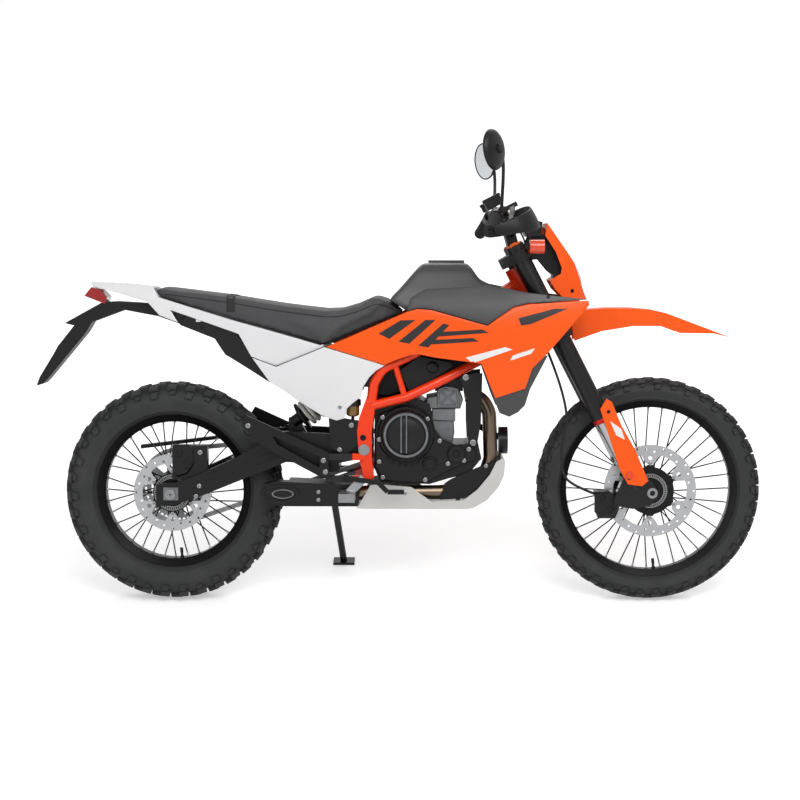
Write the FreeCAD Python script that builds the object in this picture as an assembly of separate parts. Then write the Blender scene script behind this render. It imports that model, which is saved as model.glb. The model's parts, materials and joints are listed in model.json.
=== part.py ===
import FreeCAD, Part
import os
from math import asin, atan2, cos, degrees, pi, radians, sin, tan
from FreeCAD import Vector

os.makedirs("parts", exist_ok=True)

# Dual sport motorcycle, in millimetres and degrees.
# It is drawn upright: X forward from the rear axle, Y to the rider's left, Z up from the ground.
# Only at the end is it leaned onto its side stand and moved to the middle of its bounding box.

# Driving dimensions
wheelbase = 1475
seat_height = 890
rear_wheel_radius = 340.6
front_wheel_radius = 347.7
rake_angle = 27.1
steering_lead = 61.7
fork_offset = 27.5
fork_spacing = 97
lean_angle = 11

# Clearances and cuts
running_gap = 0.3
cut_overrun = 20
far_overrun = 400

# Side view places that pieces share, as shares of the wheelbase and of the seat height
pivot_shares = (0.4034, 0.5405)
front_sprocket_shares = (0.452, 0.5420)
crank_shares = (0.490, 0.591)


def at(shares):
    return Vector(wheelbase * shares[0], 0, seat_height * shares[1])


def side_points(table):
    return [at(shares) for shares in table]


rear_axle = Vector(0, 0, rear_wheel_radius)
front_axle = Vector(wheelbase, 0, front_wheel_radius)
pivot = at(pivot_shares)
front_sprocket = at(front_sprocket_shares)
crank = at(crank_shares)

# The steering axis runs up and back; u is ahead of it, s is up along it
up_axis = Vector(-sin(radians(rake_angle)), 0, cos(radians(rake_angle)))
ahead_axis = Vector(cos(radians(rake_angle)), 0, sin(radians(rake_angle)))
across_axis = Vector(0, 1, 0)
axle_drop = steering_lead * tan(radians(rake_angle))
steering_foot = front_axle - ahead_axis * steering_lead + up_axis * axle_drop


def steer(u, y, s):
    return steering_foot + ahead_axis * u + up_axis * s + across_axis * y


# General solids
panel_wall = 4
stub_width = 14


def face_of(points):
    return Part.Face(Part.makePolygon(points + [points[0]]))


def side_prism(points, y_from, y_to):
    flat = [Vector(p.x, y_from, p.z) for p in points]
    return face_of(flat).extrude(across_axis * (y_to - y_from))


def plan_prism(points, z_from, z_to):
    flat = [Vector(x, y, z_from) for x, y in points]
    return face_of(flat).extrude(Vector(0, 0, z_to - z_from))


def front_prism(points, x_from, x_to):
    flat = [Vector(x_from, y, z) for y, z in points]
    return face_of(flat).extrude(Vector(x_to - x_from, 0, 0))


def rod(start, end, radius):
    run = end - start
    return Part.makeCylinder(radius, run.Length, start, run)


def cross_rod(centre, radius, y_from, y_to):
    return rod(Vector(centre.x, y_from, centre.z), Vector(centre.x, y_to, centre.z), radius)


def ring(centre, outer, inner, y_from, y_to):
    hole = cross_rod(centre, inner, y_from - cut_overrun, y_to + cut_overrun)
    return cross_rod(centre, outer, y_from, y_to).cut(hole)


def bar(start, end, width, height, side=across_axis):
    """Rectangular bar between two points, its width along side."""
    run = end - start
    normal = run.cross(side)
    normal.normalize()
    flat = Vector(side.x, side.y, side.z)
    half_w, half_h = flat * (width / 2), normal * (height / 2)
    corners = [start - half_w - half_h, start + half_w - half_h,
               start + half_w + half_h, start - half_w + half_h]
    return face_of(corners).extrude(run)


def tube(points, radius, bend):
    """Round tube along straight runs joined by tangent arcs."""
    edges = []
    last = points[0]
    for before, corner, after in zip(points, points[1:], points[2:]):
        back, on = before - corner, after - corner
        turn = pi - back.getAngle(on)
        reach = bend * tan(turn / 2)
        back.normalize()
        on.normalize()
        start, end = corner + back * reach, corner + on * reach
        middle = back + on
        middle.normalize()
        inner = corner + middle * (bend / cos(turn / 2) - bend)
        edges += [Part.LineSegment(last, start).toShape(), Part.Arc(start, inner, end).toShape()]
        last = end
    edges.append(Part.LineSegment(last, points[-1]).toShape())
    heading = points[1] - points[0]
    section = Part.Wire([Part.makeCircle(radius, points[0], heading)])
    return Part.Wire(edges).makePipeShell([section], True, True)


def mirrored(shape):
    return shape.mirror(Vector(0, 0, 0), across_axis)


def pair(shape):
    return [shape, mirrored(shape)]


def one(shapes):
    return shapes[0].multiFuse(shapes[1:]).removeSplitter() if len(shapes) > 1 else shapes[0]


def curved_panel(table, plan_table, wall, lowest=0):
    """Panel on the right: a wall that follows plan_table, trimmed to the side outline in table."""
    plan = [(wheelbase * x, -half) for x, half in plan_table]
    inner = [(x, y + wall) for x, y in reversed(plan)]
    sheet = plan_prism(plan + inner, lowest, lowest + 2 * seat_height)
    widest = max(half for x, half in plan_table)
    return side_prism(side_points(table), -widest - cut_overrun, 0).common(sheet)


def half_at(plan_table, share):
    """Half width of a panel's plan at a share of the wheelbase."""
    for (start, start_half), (end, end_half) in zip(plan_table, plan_table[1:]):
        if start <= share <= end:
            return start_half + (end_half - start_half) * (share - start) / (end - start)


def stub(shares, near, far):
    """Square boss on the right that reaches across from near to far."""
    place = at(shares)
    return Part.makeBox(stub_width, far - near, stub_width,
                        Vector(place.x - stub_width / 2, -far, place.z - stub_width / 2))


def held_panel(table, plan_table, stub_table):
    """Curved panel with the bosses that reach in to what carries it."""
    panel = curved_panel(table, plan_table, panel_wall)
    bosses = [stub(shares, near, half_at(plan_table, shares[0]) - panel_wall / 2) for shares, near in stub_table]
    return one([panel] + bosses)


def turned(profile, centre):
    """Solid of revolution about an axle along Y, from (radius, y) points."""
    points = [Vector(centre.x + r, y, centre.z) for r, y in profile]
    return face_of(points).revolve(centre, across_axis, 360)


nodes = {}


def node(name, *solids):
    nodes[name] = [solid for solid in solids]


# Tyres: flat faced knobs, a row down the middle between rows at both shoulders
knob_flat_half = 11
groove_depth = 9
rear_tyre_half_width = 66
rear_knob_rows = 34
front_tyre_half_width = 45
front_knob_rows = 36
# (radius drop below the tread as a share of the sidewall's height, y as a share of the half width)
tyre_side_share = (0.56, 0.97)
tyre_shoulder_shares = ((0.24, 1.00), (0.05, 0.52))


def tyre(centre, radius, half_width, flange, rim_half, rows):
    floor = radius - groove_depth
    bead = flange + rim_wall + running_gap
    height = floor - bead
    side_drop, side_half = tyre_side_share
    (outer_drop, outer_half), (inner_drop, inner_half) = tyre_shoulder_shares
    foot = (bead, rim_half)
    side = (floor - height * side_drop, half_width * side_half)
    outer = (floor - height * outer_drop, half_width * outer_half - groove_depth / 2)
    inner = (floor - height * inner_drop, half_width * inner_half)
    middle = (floor, knob_flat_half)
    outer_top = (outer[0] + groove_depth / 2, half_width * outer_half)
    inner_top = (inner[0] + groove_depth * 0.9, inner[1] + groove_depth / 4)
    middle_top = (radius, knob_flat_half)

    def whole(half):
        return half + [(r, -y) for r, y in reversed(half)]

    shoulder_knob = [outer, outer_top, inner_top, inner]
    with_middle = whole([foot, side, outer, inner, middle, middle_top])
    with_shoulders = whole([foot, side] + shoulder_knob + [middle])
    step = 2 * pi / (2 * rows)
    stretch = 1 / cos(step / 2)

    def spot(point, angle):
        r = point[0] * stretch
        return centre + Vector(r * sin(angle), point[1], -r * cos(angle))

    faces = []
    for row in range(2 * rows):
        start, end = (row - 0.5) * step, (row + 0.5) * step
        profile = with_shoulders if row % 2 else with_middle
        for a, b in zip(profile, profile[1:] + profile[:1]):
            faces.append(face_of([spot(a, start), spot(b, start), spot(b, end), spot(a, end)]))
        for angle in (start, end):
            if row % 2:
                faces.append(face_of([spot(p, angle) for p in shoulder_knob]))
                faces.append(face_of([spot((r, -y), angle) for r, y in shoulder_knob]))
            else:
                ends = [middle, middle_top, (middle_top[0], -knob_flat_half), (middle[0], -knob_flat_half)]
                faces.append(face_of([spot(p, angle) for p in ends]))
    shell = Part.makeShell(faces)
    shell.sewShape()
    return Part.makeSolid(shell)


# Wheels
rear_rim_radii = (215, 233)
rear_rim_half_width = 38
front_rim_radii = (254, 269)
front_rim_half_width = 30
rim_wall = 4
rear_axle_radius = 10
front_axle_radius = 11
axle_bore_radius = 8
spoke_count = 36
spoke_thickness = 3.6
spoke_spread = 26
hub_wall = 8
flange_thickness = 5
rear_hub_radius = 32
rear_flange_radius = 52
rear_flange_half = 38
front_hub_radius = 24
front_flange_radius = 42
front_flange_half = 36
disc_thickness = 5
rear_disc_radius = 120
rear_disc_inner = 72
rear_disc_side = 71
front_disc_radius = 142.5
front_disc_inner = 108
front_disc_side = 66
disc_arms = 6
disc_arm_width = 22


def rim(centre, radii, half_width):
    well, flange = radii
    lip = half_width - rim_wall
    edge = flange + rim_wall
    profile = [(well, -half_width * 0.5), (well, half_width * 0.5), (edge, half_width), (edge, lip),
               (well + rim_wall, half_width * 0.4), (well + rim_wall, -half_width * 0.4), (edge, -lip),
               (edge, -half_width)]
    return turned(profile, centre)


def spokes(centre, flange_radius, flange_half, well):
    solids = []
    step = 2 * pi / spoke_count
    for index in range(spoke_count):
        side = 1 if index % 2 else -1
        lead = radians(spoke_spread) * (1 if (index // 2) % 2 else -1)
        rim_angle = index * step
        hub_angle = rim_angle + lead
        start_radius = flange_radius - hub_wall / 2
        start = centre + Vector(start_radius * sin(hub_angle), side * flange_half, -start_radius * cos(hub_angle))
        reach = well - spoke_thickness / 5
        end = centre + Vector(reach * sin(rim_angle), side * spoke_thickness, -reach * cos(rim_angle))
        solids.append(bar(start, end, spoke_thickness, spoke_thickness))
    return solids


def hub(centre, radius, flange_radius, flange_half, left_end, right_end, bore, spoke_well):
    core = turned([(bore, right_end), (radius, right_end), (radius, left_end), (bore, left_end)], centre)
    flanges = [ring(centre, flange_radius, bore, side * flange_half - flange_thickness / 2,
                    side * flange_half + flange_thickness / 2) for side in (-1, 1)]
    return one([core] + flanges + spokes(centre, flange_radius, flange_half, spoke_well))


def disc(centre, outer, inner, side, hub_radius):
    y_from, y_to = -side - disc_thickness / 2, -side + disc_thickness / 2
    solids = [ring(centre, outer, inner, y_from, y_to)]
    for index in range(disc_arms):
        angle = 2 * pi * index / disc_arms
        heading = Vector(sin(angle), 0, cos(angle))
        y_middle = across_axis * -side
        start, end = centre + heading * (hub_radius + running_gap) + y_middle, centre + heading * (inner + disc_thickness)
        solids.append(bar(start, end + y_middle, disc_thickness, disc_arm_width))
    carrier = ring(centre, hub_radius + disc_arm_width / 2, hub_radius + running_gap, y_from, y_to)
    return one(solids + [carrier])


# Chain drive on the left
chain_line = 80
chain_pitch = 15.875
rear_teeth = 46
front_teeth = 15
link_height = 14
outer_link_half = 7.5
inner_link_half = 4.5
sprocket_thickness = 6
tooth_clearance = 1.2
pad_gap = 2


def pitch_radius(teeth):
    return chain_pitch / (2 * sin(pi / teeth))


rear_pitch_radius = pitch_radius(rear_teeth)
front_pitch_radius = pitch_radius(front_teeth)


def belt():
    """Pitch line of the chain round both sprockets."""
    line = front_sprocket - rear_axle
    tilt = atan2(line.z, line.x)
    wrap = asin((rear_pitch_radius - front_pitch_radius) / line.Length)
    top, bottom = tilt + pi / 2 - wrap, tilt - pi / 2 + wrap

    def on(centre, radius, angle):
        return centre + Vector(radius * cos(angle), 0, radius * sin(angle))

    top_back, top_front = on(rear_axle, rear_pitch_radius, top), on(front_sprocket, front_pitch_radius, top)
    low_front, low_back = on(front_sprocket, front_pitch_radius, bottom), on(rear_axle, rear_pitch_radius, bottom)
    nose = on(front_sprocket, front_pitch_radius, tilt)
    tail = on(rear_axle, rear_pitch_radius, tilt + pi)
    return Part.Wire([Part.LineSegment(top_back, top_front).toShape(), Part.Arc(top_front, nose, low_front).toShape(),
                      Part.LineSegment(low_front, low_back).toShape(), Part.Arc(low_back, tail, top_back).toShape()])


def chain():
    """One closed loop of links, wide and narrow in turn, mitred where they meet."""
    path = belt()
    count = 2 * round(path.Length / chain_pitch / 2)
    pins = path.discretize(Number=count + 1)[:count]
    joints = []
    for index, pin in enumerate(pins):
        back, on = pin - pins[index - 1], pins[(index + 1) % count] - pin
        back.normalize()
        on.normalize()
        middle = back + on
        middle.normalize()
        rise = Vector(-middle.z, 0, middle.x) * (link_height / 2 / middle.dot(on))
        joints.append((pin + rise, pin - rise))
    faces = []
    for index in range(count):
        (top, low), (next_top, next_low) = joints[index], joints[(index + 1) % count]
        half, other = ((outer_link_half, inner_link_half), (inner_link_half, outer_link_half))[index % 2]
        y_left, y_right = across_axis * (chain_line + half), across_axis * (chain_line - half)
        faces += [face_of([top + y_left, next_top + y_left, next_low + y_left, low + y_left]),
                  face_of([top + y_right, next_top + y_right, next_low + y_right, low + y_right]),
                  face_of([top + y_left, next_top + y_left, next_top + y_right, top + y_right]),
                  face_of([low + y_left, next_low + y_left, next_low + y_right, low + y_right])]
        for side in (-1, 1):
            near, far = across_axis * (chain_line + side * half), across_axis * (chain_line + side * other)
            faces.append(face_of([top + near, top + far, low + far, low + near]))
    shell = Part.makeShell(faces)
    shell.sewShape()
    return Part.makeSolid(shell)


def sprocket(centre):
    """Toothed plate inside the chain's links."""
    tip = rear_pitch_radius - link_height / 2 - tooth_clearance
    root = tip - tooth_depth
    step = 2 * pi / rear_teeth
    points = []
    for index in range(rear_teeth):
        for share, radius in tooth_shares_and_radii(tip, root):
            angle = (index + share) * step
            points.append(centre + Vector(radius * cos(angle), 0, radius * sin(angle)))
    y_from = chain_line - sprocket_thickness / 2
    plate = side_prism(points, y_from, y_from + sprocket_thickness)
    for index in range(sprocket_windows):
        angle = 2 * pi * index / sprocket_windows
        heading = Vector(cos(angle), 0, sin(angle))
        flank = Vector(-sin(angle), 0, cos(angle))
        near, far = sprocket_window_radii
        window = [centre + heading * near - flank * near * window_share,
                  centre + heading * far - flank * far * window_share,
                  centre + heading * far + flank * far * window_share,
                  centre + heading * near + flank * near * window_share]
        plate = plate.cut(side_prism(window, y_from - cut_overrun, y_from + sprocket_thickness + cut_overrun))
    bore = cross_rod(centre, rear_hub_radius + running_gap, y_from - cut_overrun, y_from + sprocket_thickness + cut_overrun)
    return plate.cut(bore)


tooth_depth = 6
sprocket_windows = 6
sprocket_window_radii = (60, 88)
window_share = 0.36


def tooth_shares_and_radii(tip, root):
    return ((-0.30, root), (-0.12, tip), (0.12, tip), (0.30, root))


def build_wheels():
    node("rear_tyre", tyre(rear_axle, rear_wheel_radius, rear_tyre_half_width, rear_rim_radii[1],
                           rear_rim_half_width, rear_knob_rows))
    node("front_tyre", tyre(front_axle, front_wheel_radius, front_tyre_half_width, front_rim_radii[1],
                            front_rim_half_width, front_knob_rows))
    node("rear_rim", rim(rear_axle, rear_rim_radii, rear_rim_half_width))
    node("front_rim", rim(front_axle, front_rim_radii, front_rim_half_width))
    rear_left = chain_line + sprocket_thickness / 2
    node("rear_hub", hub(rear_axle, rear_hub_radius, rear_flange_radius, rear_flange_half, rear_left,
                         -rear_disc_side - disc_thickness / 2, rear_axle_radius + running_gap, rear_rim_radii[0]))
    front_end = front_disc_side + disc_thickness / 2
    node("front_hub", hub(front_axle, front_hub_radius, front_flange_radius, front_flange_half, front_end,
                          -front_end, front_axle_radius + running_gap, front_rim_radii[0]))
    node("rear_disc", disc(rear_axle, rear_disc_radius, rear_disc_inner, rear_disc_side, rear_hub_radius))
    node("front_disc", disc(front_axle, front_disc_radius, front_disc_inner, front_disc_side, front_hub_radius))
    node("rear_sprocket", sprocket(rear_axle))
    node("chain", chain())


# Main frame of round tube and pressed plates
head_tube_radius = 30
stem_radius = 15
head_tube_span = (566, 770)
upper_tube_radius = 15
lower_tube_radius = 14
cross_tube_radius = 9
spar_inner_half = 107
spar_outer_half = 131
tube_bend = 60
junction_half = 119
upper_tube_shares = ((0.418, 0.700), (0.424, 0.768), (0.441, 0.816), (0.511, 0.872))
lower_tube_shares = ((0.418, 0.690), (0.490, 0.719), (0.553, 0.767), (0.663, 0.858))
spar_shares = ((0.425, 0.671), (0.419, 0.603), (0.419, 0.515), (0.424, 0.446), (0.416, 0.436),
               (0.404, 0.439), (0.393, 0.511), (0.389, 0.603), (0.393, 0.650), (0.408, 0.716), (0.424, 0.712))
upper_halves = (119, 119, 117, 104)
lower_halves = (119, 117, 106, 64)
head_upper_rise = 725
head_lower_rise = 610
cross_tube_shares = ((0.468, 0.826), (0.488, 0.719))
cradle_shares = (0.412, 0.445)
cradle_radius = 12
gusset_shares = ((0.676, 1.095), (0.700, 1.070), (0.72, 1.00), (0.66, 0.95), (0.64, 0.985))
gusset_half = 22
bracket_lug_places = ((0.3255, 0.5168, 128, 140), (0.3255, 0.4393, 118, 131))
bracket_lug_front_share = 0.405
bracket_lug_height = 20
bracket_boss_shares = (0.3315, 0.4393)


def lifted(table, halves):
    return [Vector(p.x, -half, p.z) for p, half in zip(side_points(table), halves)]


def build_frame():
    head = rod(steer(0, 0, head_tube_span[0]), steer(0, 0, head_tube_span[1]), head_tube_radius)
    bore = rod(steer(0, 0, head_tube_span[0] - cut_overrun), steer(0, 0, head_tube_span[1] + cut_overrun),
               stem_radius + running_gap)
    upper_path = lifted(upper_tube_shares, upper_halves) + [steer(-head_tube_radius / 2, -head_tube_radius / 2,
                                                                   head_upper_rise)]
    lower_path = lifted(lower_tube_shares, lower_halves) + [steer(-head_tube_radius / 2, -head_tube_radius / 2,
                                                                   head_lower_rise)]
    upper, lower = tube(upper_path, upper_tube_radius, tube_bend), tube(lower_path, lower_tube_radius, tube_bend)
    spar = side_prism(side_points(spar_shares), -spar_outer_half, -spar_inner_half)
    brace_ends = lifted(cross_tube_shares, (upper_halves[2] - cross_tube_radius / 2, lower_halves[1]))
    brace = rod(brace_ends[0], brace_ends[1], cross_tube_radius)
    halves = []
    for solid in (upper, lower, spar, brace):
        halves += pair(solid)
    cradle = cross_rod(at(cradle_shares), cradle_radius, -spar_inner_half, spar_inner_half)
    gusset = side_prism(side_points(gusset_shares), -gusset_half, gusset_half)
    halves += pair(stub(bracket_boss_shares, bracket_lug_places[1][2], bracket_lug_places[0][3]))
    for x, z, near, far in bracket_lug_places:
        back = at((x, z))
        lug = Part.makeBox(wheelbase * bracket_lug_front_share - back.x, far - near, bracket_lug_height,
                           Vector(back.x, -far, back.z - bracket_lug_height / 2))
        halves += pair(lug)
    frame = one([head] + halves + [cradle, gusset])
    pivot_hole = cross_rod(pivot, swing_bolt_radius + running_gap, -far_overrun, far_overrun)
    for side in (-1, 1):
        ends = sorted((side * spar_outer_half, side * far_overrun))
        frame = frame.cut(cross_rod(pivot, swing_cap_radius + running_gap, *ends))
    node("main_frame", frame.cut(bore).cut(pivot_hole))


# Swingarm, pivoting between the frame's spars
swing_bolt_radius = 10
swing_cap_radius = 17
swing_boss_radius = 20
swing_boss_half = 104
arm_shares = ((-0.030, 0.416), (0.009, 0.422), (0.057, 0.450), (0.139, 0.512), (0.193, 0.563), (0.233, 0.601),
              (0.338, 0.592), (0.400, 0.572), (0.420, 0.556), (0.420, 0.523), (0.400, 0.507), (0.333, 0.485),
              (0.241, 0.495), (0.173, 0.450), (0.063, 0.376), (0.002, 0.342), (-0.030, 0.341))
arm_plan_shares = (-0.030, 0.235, 0.320, 0.425)
arm_outer_halves = (112, 112, 104, 104)
arm_inner_halves = (92, 91, 91, 91)
bridge_shares = ((0.262, 0.535), (0.262, 0.485), (0.300, 0.455), (0.350, 0.460), (0.350, 0.532))
shock_lug_shares = ((0.262, 0.530), (0.243, 0.600), (0.243, 0.640), (0.262, 0.645), (0.300, 0.53))
shock_side = 26
shock_lug_half = 14


def build_swingarm():
    plan = [(wheelbase * x, -half) for x, half in zip(arm_plan_shares, arm_outer_halves)]
    plan += [(wheelbase * x, -half) for x, half in zip(reversed(arm_plan_shares), reversed(arm_inner_halves))]
    arm = side_prism(side_points(arm_shares), -far_overrun, 0).common(plan_prism(plan, 0, seat_height))
    bridge = side_prism(side_points(bridge_shares), -arm_inner_halves[2], arm_inner_halves[2])
    boss = cross_rod(pivot, swing_boss_radius, -swing_boss_half, swing_boss_half)
    lug = side_prism(side_points(shock_lug_shares), -shock_side - shock_lug_half, -shock_side + shock_lug_half)
    body = one(pair(arm) + [bridge, boss, lug])
    for centre, radius in ((pivot, swing_bolt_radius), (rear_axle, rear_axle_radius)):
        body = body.cut(cross_rod(centre, radius + running_gap, -far_overrun, far_overrun))
    node("swingarm", body)
    bolt = cross_rod(pivot, swing_bolt_radius, -spar_outer_half, spar_outer_half)
    caps = pair(cross_rod(pivot, swing_cap_radius, -spar_outer_half - swing_bolt_radius / 2, -spar_outer_half))
    node("swingarm_bolt", one([bolt] + caps))


# Axles
axle_nut_thickness = 9
rear_spacer_radius = 17
front_spacer_radius = 16


def build_axles():
    half = arm_outer_halves[0]
    bar_solid = cross_rod(rear_axle, rear_axle_radius, -half, half)
    ends = pair(cross_rod(rear_axle, rear_spacer_radius, -half - axle_nut_thickness, -half))
    left = chain_line + sprocket_thickness / 2 + running_gap
    spacer_left = cross_rod(rear_axle, rear_spacer_radius, left, arm_inner_halves[0] - running_gap)
    spacer_right = cross_rod(rear_axle, rear_spacer_radius, -arm_inner_halves[0] + running_gap,
                             -rear_disc_side - disc_thickness / 2 - running_gap)
    node("rear_axle", one([bar_solid, spacer_left, spacer_right] + ends))
    half = fork_spacing + foot_half_width
    bar_solid = cross_rod(front_axle, front_axle_radius, -half, half)
    ends = pair(cross_rod(front_axle, front_spacer_radius, -half - axle_nut_thickness, -half))
    inner = fork_spacing - foot_half_width
    hub_end = front_disc_side + disc_thickness / 2 + running_gap
    spacers = pair(cross_rod(front_axle, front_spacer_radius, -inner + running_gap, -hub_end))
    bore = cross_rod(front_axle, axle_bore_radius, -far_overrun, far_overrun)
    node("front_axle", one([bar_solid] + ends + spacers).cut(bore))


# Front fork, clamps and steering stem
fork_tube_radius = 28
fork_leg_radius = 21.5
fork_tube_span = (236, 832)
fork_ring_height = 12
clamp_wall = 10
lower_clamp_span = (512, 560)
upper_clamp_span = (780, 812)
stem_clamp_radius = 34
foot_half_width = 20
foot_shares = ((-0.080, 0.36), (-0.060, 0.44), (-0.030, 0.47), (0.000, 0.43), (0.012, 0.40), (0.012, 0.375),
               (-0.004, 0.345), (-0.040, 0.335), (-0.075, 0.345))


def clamp_plate(span):
    grip = fork_tube_radius + clamp_wall
    bottom = span[0]
    points = [steer(-stem_clamp_radius, -stem_clamp_radius * 0.6, bottom),
              steer(fork_offset - grip * 0.8, -fork_spacing - grip * 0.5, bottom),
              steer(fork_offset - grip * 0.3, -fork_spacing - grip * 0.95, bottom),
              steer(fork_offset + grip * 0.5, -fork_spacing - grip * 0.85, bottom),
              steer(fork_offset + grip, -fork_spacing - grip * 0.3, bottom),
              steer(fork_offset + grip, -fork_spacing + grip * 0.6, bottom),
              steer(stem_clamp_radius, -stem_clamp_radius * 0.8, bottom)]
    points += [Vector(p.x, -p.y, p.z) for p in reversed(points)]
    return face_of(points).extrude(up_axis * (span[1] - span[0]))


def build_fork():
    stem = rod(steer(0, 0, lower_clamp_span[0]), steer(0, 0, upper_clamp_span[1]), stem_radius)
    clamps = one([clamp_plate(lower_clamp_span), clamp_plate(upper_clamp_span), stem])
    tube_bottom, tube_top = fork_tube_span
    legs, tubes = [], []
    for side in (-1, 1):
        y = side * fork_spacing
        hole = rod(steer(fork_offset, y, lower_clamp_span[0] - cut_overrun),
                   steer(fork_offset, y, upper_clamp_span[1] + cut_overrun), fork_tube_radius)
        clamps = clamps.cut(hole)
        outer = rod(steer(fork_offset, y, tube_bottom), steer(fork_offset, y, tube_top), fork_tube_radius)
        outer = outer.cut(rod(steer(fork_offset, y, tube_bottom - cut_overrun),
                              steer(fork_offset, y, tube_bottom + fork_tube_radius * 2),
                              fork_leg_radius + running_gap))
        tubes.append(outer)
        leg = rod(steer(fork_offset, y, 0), steer(fork_offset, y, tube_bottom + fork_tube_radius), fork_leg_radius)
        foot = [front_axle + Vector(wheelbase * x, 0, seat_height * z - foot_axle_height()) for x, z in foot_shares]
        shoe = side_prism(foot, y - foot_half_width, y + foot_half_width)
        shoe = shoe.cut(cross_rod(front_axle, front_axle_radius + running_gap, -far_overrun, far_overrun))
        legs.append(one([leg, shoe]))
    node("triple_clamps", clamps)
    node("fork_tubes", *tubes)
    node("fork_legs", *legs)


def foot_axle_height():
    return seat_height * foot_axle_share


foot_axle_share = 0.3907

# Handlebar and what it carries; places are ahead of, across and along the steering axis
bar_radius = 14
bar_end_radius = 11
bar_places = ((38, 0, 868), (38, 62, 868), (45, 175, 945), (20, 245, 946), (-32, 408, 908))
riser_width = 26
grip_radius = 17
grip_start_share = 0.28
lever_reach = 70
lever_width = 14
lever_thickness = 8
perch_radius = 19
mirror_radius = 60
mirror_thickness = 16
mirror_stalk_radius = 5
mirror_centre = (980, 332, 1382)
mirror_stalk = ((1003, 262, 1190), (1006, 268, 1262), (1013, 300, 1386))


def bar_point(place, side=-1):
    u, y, s = place
    return steer(u, side * y, s)


def build_handlebar():
    halves = []
    for side in (-1, 1):
        points = [bar_point(place, side) for place in bar_places]
        halves.append(tube(points, bar_end_radius, bar_bend))
        riser = bar(steer(bar_places[0][0] * 0.6, side * riser_side, upper_clamp_span[1]),
                    steer(bar_places[0][0], side * riser_side, bar_places[0][2] + bar_radius * 1.3),
                    riser_width, riser_width * 1.3)
        halves.append(riser)
    node("handlebar", one(halves).cut(nodes["triple_clamps"][0]))
    grips, levers = [], []
    for side in (-1, 1):
        start, end = bar_point(bar_places[-2], side), bar_point(bar_places[-1], side)
        run = end - start
        begin = start + run * grip_start_share
        grip = rod(begin, end + run * (running_gap / run.Length), grip_radius)
        hollow = rod(start, end, bar_end_radius)
        grips.append(grip.cut(hollow))
        perch = rod(start + run * perch_shares[0], start + run * perch_shares[1], perch_radius).cut(hollow)
        ahead = ahead_axis * lever_reach
        knuckle = start + run * perch_shares[0] * 1.5
        blade = bar(knuckle + ahead * 0.75, end + ahead, lever_thickness, lever_width, up_axis)
        link = bar(knuckle + ahead * 0.2, knuckle + ahead * 0.95, lever_width * 1.4, lever_width)
        levers.append(one([perch, link.cut(hollow), blade]))
    node("grips", *grips)
    node("levers", *levers)


bar_bend = 40
riser_side = 36
perch_shares = (0.06, 0.25)


def build_mirrors():
    solids = []
    for side in (-1, 1):
        x, y, z = mirror_centre
        centre = Vector(x, side * y, z)
        head = Part.makeCylinder(mirror_radius, mirror_thickness, centre - Vector(mirror_thickness / 2, 0, 0),
                                 Vector(1, 0, 0))
        points = [Vector(px, side * py, pz) for px, py, pz in mirror_stalk]
        stalk = tube(points, mirror_stalk_radius, mirror_radius)
        joint = rod(points[-1], centre, mirror_stalk_radius * 1.5)
        mirror = one([head, stalk, joint]).cut(nodes["handlebar"][0])
        for perch in nodes["levers"]:
            mirror = mirror.cut(perch)
        solids.append(mirror)
    node("mirrors", *solids)


# Headlight unit, dash and indicators
mask_shares = ((0.780, 1.314), (0.828, 1.202), (0.838, 1.177), (0.859, 1.078), (0.866, 1.052), (0.819, 1.052),
               (0.798, 1.086), (0.787, 1.118), (0.809, 1.141), (0.811, 1.161), (0.798, 1.216), (0.776, 1.271))
mask_plan_shares = (0.770, 0.815, 0.850, 0.870)
mask_halves = (98, 92, 68, 30)
mask_wall = 4
lamp_shares = ((0.795, 1.100), (0.795, 1.190), (0.826, 1.190), (0.850, 1.120), (0.853, 1.090))
lamp_half = 52
lens_bulge = 14
dash_shares = ((0.729, 1.300), (0.739, 1.330), (0.772, 1.318), (0.770, 1.270), (0.739, 1.268))
dash_half = 62
carrier_shares = ((0.726, 1.185), (0.745, 1.276), (0.772, 1.276), (0.797, 1.262), (0.822, 1.205), (0.815, 1.180),
                  (0.800, 1.130), (0.785, 1.150), (0.765, 1.190))
carrier_halves = (40, 46)
indicator_radius = 21
indicator_length = 44
indicator_half = 150
indicator_shares = (0.757, 1.233)
indicator_stalk_radius = 6


def tapered(table, plan_table, halves, inset=0):
    """Side outline with a width that changes along the length."""
    xs = [wheelbase * share for share in plan_table]
    plan = [(x, -(half - inset)) for x, half in zip(xs, halves)]
    plan += [(x, half - inset) for x, half in reversed(list(zip(xs, halves)))]
    return side_prism(side_points(table), -far_overrun, far_overrun).common(plan_prism(plan, 0, 2 * seat_height))


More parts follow.
